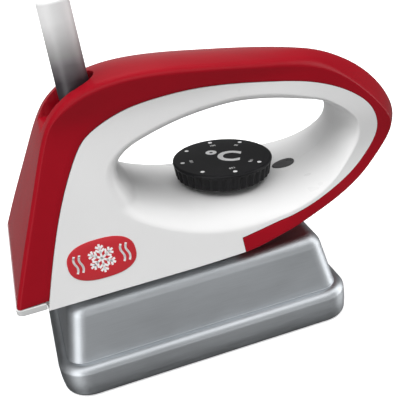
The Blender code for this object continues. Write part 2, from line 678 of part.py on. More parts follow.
# ---------------------------------------------------------------- handle
def build_bottom_plate():
    """Plate as wide as the heel at the rear, narrowed to lie between the shells ahead of it."""
    corner_r = 3.2
    step_x = STATIONS[0][0] - JOINT_GAP - 0.15
    front_x = 21.5
    inner_half = 41.7
    half = SIDE_BASE_HALF
    outline = arc(HEEL_X + corner_r, -half + corner_r, corner_r, 180, 270, 3)
    outline += [(step_x, -half), (step_x, -inner_half), (front_x, -inner_half),
                (front_x, inner_half), (step_x, inner_half), (step_x, half)]
    outline += arc(HEEL_X + corner_r, half - corner_r, corner_r, 90, 180, 3)
    plate = prism("handle_bottom_plate", outline, HANDLE_Z, HANDLE_Z + PLATE_T)
    cut(plate,
        *standoff_cutters("plate_hole_", radius=2.4, bottom=45.0, top=60.0, segments=12),
        cylinder_cutter("plate_hole_wires", 5.5, 45.0, 60.0, 16, WIRE_HOLE))
    paint(plate, PLATE_WHITE)


SPINDLE_WAY_R = 4.6
BOSS_R, BOSS_START, BOSS_SET_IN = 4.4, 0.3, 2.2      # start from mid-plane, set-in from side
SCREW_SEAT_DEPTH, SCREW_SEAT_R, SCREW_HOLE_R = 6.0, 3.6, 1.95


def build_rim_cover():
    """Red rim, opened at the top and the rear for the cord and below for the spindle."""
    rim = handle_skin("rim_cover", red=True)
    half = WELL_HALF_WIDTH
    opening = [(-90.0, -half), *arc(PIVOT_X, 0, half, -90, 90, 12), (-90.0, half)]
    cut(rim,
        prism("well_cut", opening, 115.6, 160.0, collection=CUTTERS),
        cylinder_cutter("spindle_way", SPINDLE_WAY_R, -32, -21, 16, DIAL_CENTRE, DIAL_TILT))
    paint(rim, RIM_RED)


def screw_boss(key, tag, x, z):
    """Boss from near the mid-plane to the side wall, mirrored for the right shell."""
    boss = cylinder_cutter("boss_%s_%s" % (key, tag), BOSS_R, BOSS_START,
                           half_width(z) - BOSS_SET_IN, 12, (x, 0, z), axis="Y")
    if tag == "right":
        boss.data.transform(Matrix.Scale(-1, 4, (0, 1, 0)))
        boss.data.flip_normals()
    return boss


def screw_way(key, tag, x, z):
    """Counterbored hole in the left shell, blind pilot hole in the right."""
    if tag == "right":
        return cylinder_cutter("screw_pilot_" + key, SCREW_HOLE_R, -14.0, 2.0, 12, (x, 0, z),
                               axis="Y")
    seat = half_width(z) - SCREW_SEAT_DEPTH
    profile = [(0, 58.0), (SCREW_SEAT_R, 58.0), (SCREW_SEAT_R, seat), (SCREW_HOLE_R, seat),
               (SCREW_HOLE_R, -2.0), (0, -2.0)]
    return lathe("screw_seat_" + key, profile, 15, (x, 0, z), axis="Y", collection=CUTTERS)


def build_body_shell(tag):
    shell = handle_skin("body_shell_" + tag, mirrored=tag == "right")
    spindle = cylinder_cutter("spindle_cut_" + tag, SPINDLE_WAY_R, -20, 5, 20, DIAL_CENTRE,
                              DIAL_TILT)
    join(shell, *[screw_boss(key, tag, x, z) for key, (x, z) in SHELL_SCREWS.items()])
    cut(shell, spindle, *[screw_way(key, tag, x, z) for key, (x, z) in SHELL_SCREWS.items()])
    paint(shell, SHELL_WHITE)


def build_shell_screws():
    for key, (x, z) in SHELL_SCREWS.items():
        screw("shell_screw_" + key, (x, 0, z), seat=half_width(z) - SCREW_SEAT_DEPTH + 0.3,
              recess=(1.0, 1.0), crown=(1.5, 2.4), rim=(3.1, 2.0), head_r=3.2, shank_r=1.6,
              shank_end=-12.0, tip=-13.5, axis="Y")


def build_standoffs():
    """Tubes between sole and handle plate, with the screws that run through them."""
    for key, (x, y) in STANDOFFS.items():
        sleeve = tube("standoff_" + key, STANDOFF_R, STANDOFF_BORE_R, SOLE_TOP + CLEARANCE,
                      HANDLE_Z - CLEARANCE, 14, (x, y, 0))
        paint(sleeve, PLAIN_STEEL)
        screw("standoff_screw_" + key, (x, y, 0), seat=HANDLE_Z + PLATE_T + CLEARANCE,
              recess=(1.2, 1.2), crown=(1.4, 2.6), rim=(3.3, 2.2), head_r=3.6, shank_r=1.9,
              shank_end=8.2, tip=7.2)


# ---------------------------------------------------------------- dial and thermostat
FLUTE_DEPTH = 0.8
# radius, height from the top face, share of the flute depth; from the cavity ceiling outward
DIAL_PROFILE = [
    (14.6, -3.0, 0), (16.5, -DIAL_HEIGHT, 0), (DIAL_R - 1.9, -DIAL_HEIGHT, 0.3),
    (DIAL_R - 1.1, -DIAL_HEIGHT + 0.8, 1.0), (DIAL_R - 0.15, -1.9, 1.0), (DIAL_R, -1.2, 0.25),
    (DIAL_R - 0.35, -0.45, 0.0), (DIAL_R - 1.1, 0.0, 0.0),
]
# radius, height on the dial axis
SPINDLE_PROFILE = [(0, -2.8), (2.5, -2.8), (2.75, -3.2), (2.75, -40.0), (2.2, -40.6), (0, -40.6)]
ADJUSTER_PROFILE = [(0, -42.0), (1.6, -42.0), (2.3, -42.6), (2.3, -49.8), (1.0, -51.0),
                    (0, -51.0)]


def build_dial():
    """Fluted knob, hollow below, with a bored hub."""
    count = DIAL_FLUTES * 2
    rings = []
    for radius, z, share in DIAL_PROFILE:
        ring = []
        for k in range(count):
            angle = 2 * math.pi * k / count
            reach = radius - share * FLUTE_DEPTH * (k % 2)
            ring.append((reach * math.cos(angle), reach * math.sin(angle), z))
        rings.append(ring)
    knob = loft("dial_knob", rings)
    join(knob, cylinder_cutter("dial_hub", radius=6.0, bottom=-7.6, top=-1.0, segments=24))
    cut(knob, cylinder_cutter("dial_bore", radius=3.05, bottom=-20.0, top=-2.4, segments=16))
    place(knob, DIAL_CENTRE, DIAL_TILT)
    paint(knob, DIAL_BLACK)


def build_spindle():
    """Spindle and adjuster with their bushes, all on the dial axis."""
    axis = (DIAL_CENTRE, DIAL_TILT)
    paint(lathe("thermostat_spindle", SPINDLE_PROFILE, 24, *axis), SPINDLE_STEEL)
    paint(tube("spindle_bushing", 7.0, 2.84, -20.5, -14.6, 24, *axis), BRASS)
    paint(lathe("thermostat_adjuster", ADJUSTER_PROFILE, 14, *axis), BRASS)
    paint(tube("adjuster_bush", 5.2, 2.65, -48.4, -44.6, 14, *axis), PLAIN_STEEL)


# x, z outline of the C-shaped bracket standing over the sole, open to the front
BRACKET_OUTLINE = [
    (4.5, SHEET_FOOT_Z), (44, SHEET_FOOT_Z), (44, 18.3), (6.1, 18.3),
    (6.1, 32.6), (18.6, 32.6), (18.6, 34.1), (4.5, 34.1),
]
BRACKET_HALF_WIDTH = 7.5
CONTACT_TIP_R = 1.8
ARM_ORIGIN = (16.8, 0.0, 26.6)


def build_thermostat():
    paint(prism("thermostat_bracket", BRACKET_OUTLINE, -BRACKET_HALF_WIDTH, BRACKET_HALF_WIDTH,
                "XZ"), PLAIN_STEEL)
    paint(cylinder("ceramic_stack", 3.6, 18.7, 30.0, 14, (11.5, 0, 0)), CERAMIC)
    paint(box("bimetal_strip", (16.0, -3.6, 20.4), (42.0, 3.6, 21.3)), BIMETAL)

    fixed = box("fixed_contact", (16.0, -3.0, 23.0), (37.5, 3.0, 23.6))
    join(fixed, cylinder_cutter("fixed_tip", CONTACT_TIP_R, 23.4, 24.4, 12, (35.0, 0, 0)))
    paint(fixed, BRASS)

    arm = box("contact_arm", (-0.8, -3.0, -0.3), (20.5, 3.0, 0.3))
    join(arm, cylinder_cutter("arm_tip", CONTACT_TIP_R, -1.1, -0.1, 12, (18.2, 0, 0)))
    place(arm, ARM_ORIGIN)
    paint(arm, BRASS)


FUSE_X, FUSE_Z = -24.0, 19.4
# radius, distance along the axis
FUSE_PROFILE = [(0, 8.0), (1.2, 7.6), (2.2, 6.2), (2.2, -6.2), (1.2, -7.6), (0, -8.0)]
CLIP_INNER_R, CLIP_OUTER_R, CLIP_HALF_SPAN, CLIP_HALF_LENGTH = 2.6, 3.4, 7.5, 2.5


def build_fuse():
    """Thermal fuse lying along X under a saddle clip with a foot on either side."""
    paint(lathe("thermal_fuse", FUSE_PROFILE, 12, (FUSE_X, 0, FUSE_Z), axis="X"), FUSE_BODY)
    foot_top = SHEET_FOOT_Z + CLIP_OUTER_R - CLIP_INNER_R
    right_foot = [(-CLIP_INNER_R, SHEET_FOOT_Z), (-CLIP_HALF_SPAN, SHEET_FOOT_Z),
                  (-CLIP_HALF_SPAN, foot_top), (-CLIP_OUTER_R, foot_top)]
    left_foot = [(-y, z) for y, z in reversed(right_foot)]
    outline = (arc(0, FUSE_Z, CLIP_INNER_R, 0, 180, 8) + right_foot
               + arc(0, FUSE_Z, CLIP_OUTER_R, 180, 0, 8) + left_foot)
    paint(prism("fuse_clip", outline, FUSE_X - CLIP_HALF_LENGTH, FUSE_X + CLIP_HALF_LENGTH,
                "YZ"), PLAIN_STEEL)


# ---------------------------------------------------------------- heater
ELEMENT_R, ELEMENT_Z, ELEMENT_Y = 3.3, 20.4, 24.0
ELEMENT_REAR_X, ELEMENT_BEND_X = -50.0, 30.0
CLAMP_BOTTOM, CLAMP_TOP = 24.1, 26.1
PAD_LOW, PAD_HIGH = (-50.0, -27.0, 40.6), (50.0, 27.0, 43.1)


def build_element():
    """U-shaped element, bent round at the front, with a flat terminal on each rear end."""
    line = [(ELEMENT_REAR_X, -ELEMENT_Y), *arc(ELEMENT_BEND_X, 0, ELEMENT_Y, -90, 90, 12),
            (ELEMENT_REAR_X, ELEMENT_Y)]
    paint(wire("heating_element", [(x, y, ELEMENT_Z) for x, y in line], ELEMENT_R),
          ELEMENT_METAL)
    for tag, y in (("left", ELEMENT_Y), ("right", -ELEMENT_Y)):
        paint(box("element_terminal_" + tag, (-60.0, y - 3.2, 20.0), (-50.5, y + 3.2, 20.8)),
              BRASS)


def build_clamp():
    """Bar across both legs of the element, held by one screw."""
    bar = box("element_clamp", (CLAMP_X - 6.0, -30.0, CLAMP_BOTTOM),
              (CLAMP_X + 6.0, 30.0, CLAMP_TOP), bevel=0.4)
    cut(bar, cylinder_cutter("clamp_way", 1.9, 20, 30, 12, (CLAMP_X, 0, 0)))
    paint(bar, PLAIN_STEEL)
    screw("element_clamp_screw", (CLAMP_X, 0, 0), seat=CLAMP_TOP + 0.4, recess=(1.0, 1.2),
          crown=(1.3, 2.4), rim=(2.9, 2.0), head_r=3.1, shank_r=1.5, shank_end=10.0, tip=9.2)


def build_insulation_pad():
    pad = box("insulation_pad", PAD_LOW, PAD_HIGH)
    cut(pad,
        cylinder_cutter("pad_hole_a", 7.0, 35, 50, 16, SPINDLE_HOLE),
        cylinder_cutter("pad_hole_b", 5.6, 35, 50, 16, WIRE_HOLE))
    paint(pad, PAD_FIBRE)


# ---------------------------------------------------------------- pilot lamp
LENS_X, LENS_HALF_LENGTH, LENS_HALF_WIDTH, LENS_LEAN = 60.5, 5.9, 4.3, 0.16
LENS_LAYERS = ((CLEARANCE, 1.0), (0.9, 1.0), (1.25, 0.86))    # height over the saddle, scale
# radius, height
LAMP_PROFILE = [(0, 4.4), (1.3, 4.0), (2.3, 2.6), (2.3, -4.0), (0, -4.4)]


def build_lamp():
    """Egg-shaped lens on the saddle, fuller toward the nose, over an upright neon lamp."""
    outline = []
    for k in range(24):
        angle = math.pi * k / 12
        outline.append((-LENS_HALF_LENGTH * math.cos(angle),
                        LENS_HALF_WIDTH * math.sin(angle) * (1.0 - LENS_LEAN * math.cos(angle))))
    rings = []
    for lift, scale in LENS_LAYERS:
        flat = [(LENS_X + x * scale, y * scale) for x, y in outline]
        rings.append([(x, y, saddle_z(x, y) + lift) for x, y in flat])
    paint(loft("pilot_lamp_lens", rings), LENS_DARK)
    paint(lathe("neon_lamp", LAMP_PROFILE, 12, (60.0, 0, 59.4)), LAMP_GLASS)


# ---------------------------------------------------------------- wiring
CORE_TOP_Z = PIVOT_Z - 8.8
# name, y at the terminal block, finish
CORES = (("live", 6.0, LIVE_BROWN), ("neutral", -6.0, NEUTRAL_BLUE), ("earth", 0.0, EARTH_GREEN))
# x, y, z on the left side
LEAD_POINTS = [(-31.0, 3.0, 55.6), (-32.0, 2.6, 50.0), (-33.0, 2.6, 44.0),
               (-36.0, 4.0, 36.0), (-46.0, 14.0, 27.0), (-54.0, 24.0, 22.3)]


def build_wiring():
    """Terminal block, cord cores down to it, and leads from it to the element."""
    paint(box("terminal_block", (-46.0, -10.0, 56.0), (-27.0, 10.0, 65.0), bevel=0.6),
          BLOCK_CREAM)
    for tag, y, finish in CORES:
        path = smooth_path([(-33.0, y * 0.42, CORE_TOP_Z), (-34.5, y * 0.6, CORE_TOP_Z - 8),
                            (-39.0, y, 90.0), (-40.0, y, 76.0), (-38.0, y, 65.5)])
        paint(wire("wire_" + tag, path, radius=1.1), finish)
    for tag, side in (("left", 1.0), ("right", -1.0)):
        path = smooth_path([(x, side * y, z) for x, y, z in LEAD_POINTS])
        paint(wire("element_lead_" + tag, path, radius=1.2), LEAD_SLEEVE)


# ---------------------------------------------------------------- cord
CRADLE_HALF = WELL_HALF_WIDTH - 0.4
CRADLE_REAR_X, CRADLE_FRONT_X = PIVOT_X - 17.1, PIVOT_X + CRADLE_HALF
CRADLE_BOTTOM, CRADLE_REAR_TOP = 107.4, 115.2
CRADLE_SET_DOWN = 1.1                           # below the rim surface
CRADLE_WALL = 1.5
SLOT_FLOOR = 117.6
BALL_R, BALL_BORE_R = 7.6, 3.95
TRUNNION_R, TRUNNION_REACH, TRUNNION_HOLE_R = 2.1, 9.3, 2.19
BOOT_R, BOOT_UPPER_R, BOOT_TOP = 7.5, 7.2, 171.0 - PIVOT_Z    # top height over the pivot
CORD_R = 3.6


def cradle_outline():
    """x, z outline of the cradle: flat bottom, top following the rim just below its surface."""
    samples = [station(3.0 + 4.2 * k / 24).outer_mid for k in range(25)]
    line = [(x, z - CRADLE_SET_DOWN) for x, z in samples]
    front_z = next(z0 + (z1 - z0) * (CRADLE_FRONT_X - x0) / (x1 - x0)
                   for (x0, z0), (x1, z1) in zip(line, line[1:]) if x0 <= CRADLE_FRONT_X <= x1)
    top = [(x, z) for x, z in reversed(line) if CRADLE_REAR_X <= x <= CRADLE_FRONT_X]
    return [(CRADLE_REAR_X, CRADLE_BOTTOM), (CRADLE_FRONT_X, CRADLE_BOTTOM),
            (CRADLE_FRONT_X, front_z), *top, (CRADLE_REAR_X, CRADLE_REAR_TOP)]


def build_cord_well():
    """Cradle for the swivel: a round pocket with a slot open to the rear and trunnion holes."""
    well = prism("cord_well", cradle_outline(), -CRADLE_HALF, CRADLE_HALF, "XZ")
    inner = CRADLE_HALF - CRADLE_WALL
    slot_rear = CRADLE_REAR_X - 6.0
    slot_outline = [(slot_rear, -inner), (PIVOT_X, -inner),
                    *arc(PIVOT_X + 0.1, 0, inner, -90, 90, 12)[1:-1],
                    (PIVOT_X, inner), (slot_rear, inner)]
    slot = prism("well_slot", slot_outline, SLOT_FLOOR, 160.0, collection=CUTTERS)
    pocket = cylinder_cutter("well_pocket", inner, 100.0, 160.0, 24, (PIVOT_X, 0, 0))
    pins = cylinder_cutter("well_pins", TRUNNION_HOLE_R, -20, 20, 24, PIVOT, axis="Y")

    # round the front of the cradle to the shape of the opening in the rim
    keep_rear, keep_half = CRADLE_REAR_X - 20.0, CRADLE_HALF + 1
    keep_outline = [(keep_rear, -keep_half), (PIVOT_X, -keep_half),
                    *arc(PIVOT_X, 0, CRADLE_HALF, -90, 90, 24),
                    (PIVOT_X, keep_half), (keep_rear, keep_half)]
    keep = prism("well_keep", keep_outline, 90.0, 170.0, collection=CUTTERS)
    combine(well, [keep], "INTERSECT")
    cut(well, slot, pocket, pins)
    paint(well, WELL_RED)


def build_swivel_ball():
    """Bored ball with a trunnion on each side."""
    end_z = math.sqrt(BALL_R ** 2 - BALL_BORE_R ** 2)
    step = 58.7 / 3
    profile = [(BALL_BORE_R, end_z), *arc(0, 0, BALL_R, step, -step, 2), (BALL_BORE_R, -end_z)]
    ball = lathe("cord_swivel_ball", profile, 16)
    trunnion = cylinder_cutter("ball_trunnion", TRUNNION_R, -TRUNNION_REACH, TRUNNION_REACH, 24,
                               axis="Y")
    join(ball, trunnion)
    cut(ball, cylinder_cutter("ball_bore", BALL_BORE_R, -12, 12, 16))
    place(ball, PIVOT)
    paint(ball, BALL_GREY)


def build_cord():
    boot = [(4.0, BOOT_TOP), (5.4, BOOT_TOP - 0.2), (6.6, BOOT_TOP - 1.2),
            (BOOT_UPPER_R, BOOT_TOP - 3.0), (BOOT_R, 14.0), (BOOT_R, 9.6), (6.6, 8.4), (4.0, 8.4)]
    paint(lathe("cord_boot", boot, 18, PIVOT), BOOT_GREY)
    cord = [(0, BOOT_TOP + 4.2), (CORD_R - 0.4, BOOT_TOP + 4.2), (CORD_R, BOOT_TOP + 3.8),
            (CORD_R, -5.4), (0, -6.0)]
    paint(lathe("power_cord", cord, 16, PIVOT), CORD_GREY)


# ---------------------------------------------------------------- side badges
BADGE_X, BADGE_Z, BADGE_HALF_LENGTH, BADGE_HALF_HEIGHT = -41.0, 66.0, 15.2, 8.6
BADGE_POWER = 2 / 3.2                           # superellipse exponent of the outline
BADGE_LAYERS = ((CLEARANCE, 1.0), (0.75, 1.0), (0.95, 0.95))   # lift off the side face, scale


def build_badge(tag, side):
    """Thin superellipse lying on the sloping side face."""
    slant = math.sqrt(1 + SIDE_SLOPE ** 2)
    rings = []
    for lift, scale in BADGE_LAYERS:
        ring = []
        for k in range(32):
            angle = 2 * math.pi * k / 32
            along, up = [scale * math.copysign(abs(value) ** BADGE_POWER, value)
                         for value in (math.cos(angle), math.sin(angle))]
            face_z = BADGE_Z + BADGE_HALF_HEIGHT * up / slant
            ring.append((BADGE_X + BADGE_HALF_LENGTH * along,
                         side * (half_width(face_z) + lift / slant),
                         face_z + lift * SIDE_SLOPE / slant))
        rings.append(ring)
    paint(loft("side_badge_" + tag, rings), BADGE_RED)


build_sole()
build_cover()
build_bottom_plate()
build_rim_cover()
build_body_shell("left")
build_body_shell("right")
build_shell_screws()
build_standoffs()
build_dial()
build_spindle()
build_thermostat()
build_fuse()
build_element()
build_clamp()
build_insulation_pad()
build_lamp()
build_wiring()
build_cord_well()
build_swivel_ball()
build_cord()
build_badge("left", 1)
build_badge("right", -1)
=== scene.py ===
"""Small electric iron with a thick sole, a closed loop handle and a temperature dial.

The sole stands on z = 0 and is centred on the origin. The nose points to +X, the heel to -X,
+Y is the left side and +Z is up. The cord rises from the rear of the handle.
Dimensions are in millimetres and are scaled to metres when a mesh is made.
"""
import math
import bpy
import bmesh
from mathutils import Vector, Matrix


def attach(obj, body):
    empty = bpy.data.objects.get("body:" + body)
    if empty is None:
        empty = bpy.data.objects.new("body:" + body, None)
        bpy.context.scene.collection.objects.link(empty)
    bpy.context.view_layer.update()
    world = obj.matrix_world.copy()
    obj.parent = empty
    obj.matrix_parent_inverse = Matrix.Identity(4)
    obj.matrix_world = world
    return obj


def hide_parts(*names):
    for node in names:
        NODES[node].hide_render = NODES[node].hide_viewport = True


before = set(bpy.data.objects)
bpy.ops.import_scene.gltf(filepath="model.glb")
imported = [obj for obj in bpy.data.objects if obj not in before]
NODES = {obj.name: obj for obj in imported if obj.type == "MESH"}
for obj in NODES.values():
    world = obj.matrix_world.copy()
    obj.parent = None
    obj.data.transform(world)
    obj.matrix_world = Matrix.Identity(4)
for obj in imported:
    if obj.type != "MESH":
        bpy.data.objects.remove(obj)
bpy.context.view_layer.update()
MM = 0.001

# ------------------------------------------------------------ shared dimensions (mm)
SOLE_HALF_X, SOLE_HALF_Y, SOLE_T = 72.5, 47.3, 16.4
SOLE_CORNER, SOLE_TOP_R, SOLE_BOTTOM_R = 14.4, 4.2, 2.0
COVER_Z0, COVER_Z1 = 16.45, 45.7
COVER_BOTTOM, COVER_TOP = (67.6, 42.4), (61.2, 41.3)    # half sizes in x and y
COVER_CORNER, COVER_TOP_R, COVER_WALL = 8.5, 6.0, 2.2
STANDOFFS = {"rear_left": (-45.0, 33.0), "rear_right": (-45.0, -33.0),
             "front_left": (13.0, 33.0), "front_right": (13.0, -33.0)}
CENTRE_HOLE_X = -32.0       # opening on the centre line, in the cover and the bottom plate
CLAMP_SCREW_X = -6.0

HANDLE_Z, HEEL_X, PLATE_T, WALL = 51.5, -82.0, 2.95, 2.4
GAP = 0.26                  # seam between the red and white mouldings
SHELL_SCREWS = {"rear": (-53.0, 62.5), "front": (2.0, 59.8)}     # x, z
# Handle half width: HALF_BASE at HALF_Z0, leaning in by HALF_SLOPE, never below HALF_TOP
HALF_BASE, HALF_SLOPE, HALF_Z0, HALF_TOP, HALF_BLEND = 44.7, 0.416, 54.9, 17.6, 2.2
# Narrowing of the nose in plan, forward of NARROW_X0
NARROW_X0, NARROW_RATE, NARROW_POWER, NARROW_LIMIT, NARROW_LENGTH = 45.0, 0.54, 1.4, 0.6, 60.0
LOW_NARROW, LOW_NARROW_Z, LOW_NARROW_SPREAD = 0.32, 74.0, 13.0   # extra, centred on a height

DIAL_AXIS, DIAL_TILT, DIAL_R, DIAL_H = (29.4, 0.0, 79.0), 5.3, 24.5, 8.5
DIAL_TOP = (29.48, 0.0, 79.9)
CORD_PIVOT = (-33.0, 0.0, 117.0)
BOOT_R, BOOT_TOP_R, BOOT_TOP_Z, BOOT_EDGE_R, CORD_R = 7.5, 7.2, 171.0, 2.2, 3.6
WELL_HALF, WELL_FLOOR, WELL_HOLE = 9.6, 118.2, 8.5     # channel half width, floor z, hole radius
BADGE_X, BADGE_Z, BADGE_HALF_X, BADGE_HALF_Z = -41.0, 66.0, 15.2, 8.6


# ------------------------------------------------------------ mesh helpers
def link(obj):
    bpy.context.scene.collection.objects.link(obj)
    return obj


def mesh_obj(name, verts, faces, smooth=True, merge=0.000002):
    """Object from vertices in metres, with doubles merged and normals made consistent."""
    mesh = bpy.data.meshes.new(name)
    mesh.from_pydata([tuple(v) for v in verts], [], faces)
    bm = bmesh.new()
    bm.from_mesh(mesh)
    if merge:
        bmesh.ops.remove_doubles(bm, verts=bm.verts, dist=merge)
        bmesh.ops.dissolve_degenerate(bm, edges=bm.edges, dist=1e-7)
    bmesh.ops.recalc_face_normals(bm, faces=bm.faces)
    bm.to_mesh(mesh)
    bm.free()
    for polygon in mesh.polygons:
        polygon.use_smooth = smooth
    return link(bpy.data.objects.new(name, mesh))


def modify(obj, kind, **settings):
    modifier = obj.modifiers.new(kind.lower(), kind)
    for key, value in settings.items():
        setattr(modifier, key, value)


def bake(obj):
    """Apply all modifiers."""
    bpy.context.view_layer.update()
    graph = bpy.context.evaluated_depsgraph_get()
    mesh = bpy.data.meshes.new_from_object(
        obj.evaluated_get(graph), preserve_all_data_layers=True, depsgraph=graph)
    obj.modifiers.clear()
    obj.data = mesh
    mesh.name = obj.name


def sharp_by_angle(obj, degrees):
    """Mark the edges that turn by at least this angle as sharp."""
    bm = bmesh.new()
    bm.from_mesh(obj.data)
    for edge in bm.edges:
        if len(edge.link_faces) == 2:
            edge.smooth = edge.calc_face_angle(0.0) < math.radians(degrees)
    bm.to_mesh(obj.data)
    bm.free()


def edge_round(obj, width, segments, angle):
    modify(obj, "BEVEL", width=width * MM, segments=segments, limit_method="ANGLE",
           angle_limit=math.radians(angle), use_clamp_overlap=True, harden_normals=False,
           miter_outer="MITER_ARC")
    bake(obj)
    for polygon in obj.data.polygons:
        polygon.use_smooth = True


def weighted(obj):
    modify(obj, "WEIGHTED_NORMAL", keep_sharp=True, weight=60)


def cut(obj, cutter, operation="DIFFERENCE"):
    modify(obj, "BOOLEAN", operation=operation, solver="EXACT", object=cutter)
    bake(obj)
    bpy.data.objects.remove(cutter, do_unlink=True)


def place(obj, loc, tilt=0.0, axis="Z"):
    """Move a mesh built round Z to loc, turned onto the Y axis or tilted about Y."""
    if axis == "Y":
        turn = Matrix.Rotation(math.radians(-90), 4, "X")
    else:
        turn = Matrix.Rotation(math.radians(tilt), 4, "Y")
    obj.data.transform(Matrix.Translation(Vector(loc) * MM) @ turn)


def lathe(name, profile, seg, loc, tilt=0.0, axis="Z", sharp=None):
    """Turned piece from a (radius, height) outline; closed to a ring if it starts off the axis."""
    verts, faces = [], []
    n = len(profile)
    for k in range(seg):
        angle = 2 * math.pi * k / seg
        for r, z in profile:
            verts.append(Vector((r * math.cos(angle), r * math.sin(angle), z)) * MM)
    closed = profile[0][0] > 1e-6
    for k in range(seg):
        here, after = k * n, ((k + 1) % seg) * n
        for j in range(n if closed else n - 1):
            below = (j + 1) % n
            faces.append([here + j, here + below, after + below, after + j])
    obj = mesh_obj(name, verts, faces, merge=0.0000005)
    place(obj, loc, tilt, axis)
    if sharp:
        sharp_by_angle(obj, sharp)
    return obj


def drill(obj, radius, top, bottom, seg, loc, tilt=0.0, axis="Z"):
    """Cut a round hole between two distances along the axis from loc."""
    profile = [(0, top), (radius, top), (radius, bottom), (0, bottom)]
    cut(obj, lathe("cutter", profile, seg, loc, tilt, axis))


def drill_standoffs(obj, radius, top, bottom, seg):
    for x, y in STANDOFFS.values():
        drill(obj, radius, top, bottom, seg, (x, y, 0))


def round_profile(points, radii, seg=4):
    """Polyline with its inner corners replaced by arcs."""
    out = [points[0]]
    for k in range(1, len(points) - 1):
        before, corner, after = Vector(points[k - 1]), Vector(points[k]), Vector(points[k + 1])
        r = radii[k]
        if r <= 0:
            out.append(points[k])
            continue
        to_before, to_after = before - corner, after - corner
        len_before, len_after = to_before.length, to_after.length
        to_before.normalize()
        to_after.normalize()
        angle = to_before.angle(to_after)
        trim = min(r / math.tan(angle / 2), len_before * 0.49, len_after * 0.49)
        r = trim * math.tan(angle / 2)
        centre = corner + (to_before + to_after).normalized() * (r / math.sin(angle / 2))
        start = corner + to_before * trim - centre
        end = corner + to_after * trim - centre
        sweep = start.angle(end)
        sign = 1 if start.x * end.y - start.y * end.x > 0 else -1
        for i in range(seg + 1):
            turn = sign * sweep * i / seg
            out.append((centre.x + start.x * math.cos(turn) - start.y * math.sin(turn),
                        centre.y + start.x * math.sin(turn) + start.y * math.cos(turn)))
    out.append(points[-1])
    return out


def ring(z, half_x, half_y, r, corner_steps=14, side_steps=8):
    """Rounded rectangle at height z."""
    points = []
    corners = ((1, 1, 0), (-1, 1, 90), (-1, -1, 180), (1, -1, 270))

    def on_corner(corner, degrees):
        sx, sy, start = corner
        angle = math.radians(start + degrees)
        return (sx * (half_x - r) + r * math.cos(angle),
                sy * (half_y - r) + r * math.sin(angle), z)

    for c, corner in enumerate(corners):
        for k in range(corner_steps + 1):
            points.append(on_corner(corner, 90 * k / corner_steps))
        start, end = points[-1], on_corner(corners[(c + 1) % 4], 0)
        for k in range(1, side_steps):
            f = k / side_steps
            points.append((start[0] + (end[0] - start[0]) * f,
                           start[1] + (end[1] - start[1]) * f, z))
    return points


def loft(name, rings):
    """Skin over rings of equal count, capped at both ends."""
    n, count = len(rings[0]), len(rings)
    verts = [Vector(p) * MM for points in rings for p in points]
    faces = []
    for i in range(count - 1):
        for k in range(n):
            after = (k + 1) % n
            faces.append([i * n + k, i * n + after, (i + 1) * n + after, (i + 1) * n + k])
    faces.append(list(range(n)))
    faces.append(list(range((count - 1) * n, count * n)))
    return mesh_obj(name, verts, faces)


def piece(obj, material, body, nodes):
    """Paint a finished piece, attach it to its body and hide the CAD nodes it replaces."""
    obj.data.materials.clear()
    obj.data.materials.append(material)
    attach(obj, body)
    if nodes:
        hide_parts(*nodes)


# ------------------------------------------------------------ shader helpers
def new_material(name):
    material = bpy.data.materials.new(name)
    material.use_nodes = True
    nt = material.node_tree
    nt.nodes.clear()
    output = nt.nodes.new("ShaderNodeOutputMaterial")
    shader = nt.nodes.new("ShaderNodeBsdfPrincipled")
    nt.links.new(shader.outputs[0], output.inputs[0])
    return material, nt, shader


def coords(nt, scale=(1, 1, 1)):
    source = nt.nodes.new("ShaderNodeTexCoord")
    mapping = nt.nodes.new("ShaderNodeMapping")
    mapping.inputs["Scale"].default_value = scale
    nt.links.new(source.outputs["Object"], mapping.inputs[0])
    return mapping.outputs[0]


def noise(nt, vector, scale, detail, roughness=0.55):
    node = nt.nodes.new("ShaderNodeTexNoise")
    node.inputs["Scale"].default_value = scale
    node.inputs["Detail"].default_value = detail
    node.inputs["Roughness"].default_value = roughness
    node.inputs["Distortion"].default_value = 0.0
    nt.links.new(vector, node.inputs["Vector"])
    return node.outputs[0]


def ramp(nt, fac, stops):
    node = nt.nodes.new("ShaderNodeValToRGB")
    elements = node.color_ramp.elements
    while len(elements) < len(stops):
        elements.new(0.5)
    for element, (position, colour) in zip(elements, stops):
        element.position = position
        element.color = (*colour, 1.0)
    nt.links.new(fac, node.inputs[0])
    return node.outputs[0]


def grey_ramp(nt, fac, stops):
    return ramp(nt, fac, [(position, (v, v, v)) for position, v in stops])


def drift_ramp(nt, fac, colour, drift, low, high):
    """From slightly darker to slightly lighter than the colour."""
    darker = tuple(max(0.0, c * (1 - drift)) for c in colour)
    lighter = tuple(min(1.0, c * (1 + drift)) for c in colour)
    return ramp(nt, fac, [(low, darker), (high, lighter)])


def remap(nt, fac, from_min, from_max, to_min, to_max):
    node = nt.nodes.new("ShaderNodeMapRange")
    node.inputs["From Min"].default_value = from_min
    node.inputs["From Max"].default_value = from_max
    node.inputs["To Min"].default_value = to_min
    node.inputs["To Max"].default_value = to_max
    nt.links.new(fac, node.inputs[0])
    return node.outputs[0]


def math_node(nt, operation, *values):
    """Math node whose inputs are numbers or sockets."""
    node = nt.nodes.new("ShaderNodeMath")
    node.operation = operation
    for k, value in enumerate(values):
        if isinstance(value, (int, float)):
            node.inputs[k].default_value = value
        else:
            nt.links.new(value, node.inputs[k])
    return node.outputs[0]


def bump(nt, shader, height, strength):
    node = nt.nodes.new("ShaderNodeBump")
    node.inputs["Strength"].default_value = strength
    node.inputs["Distance"].default_value = 0.0002
    nt.links.new(height, node.inputs["Height"])
    nt.links.new(node.outputs[0], shader.inputs["Normal"])


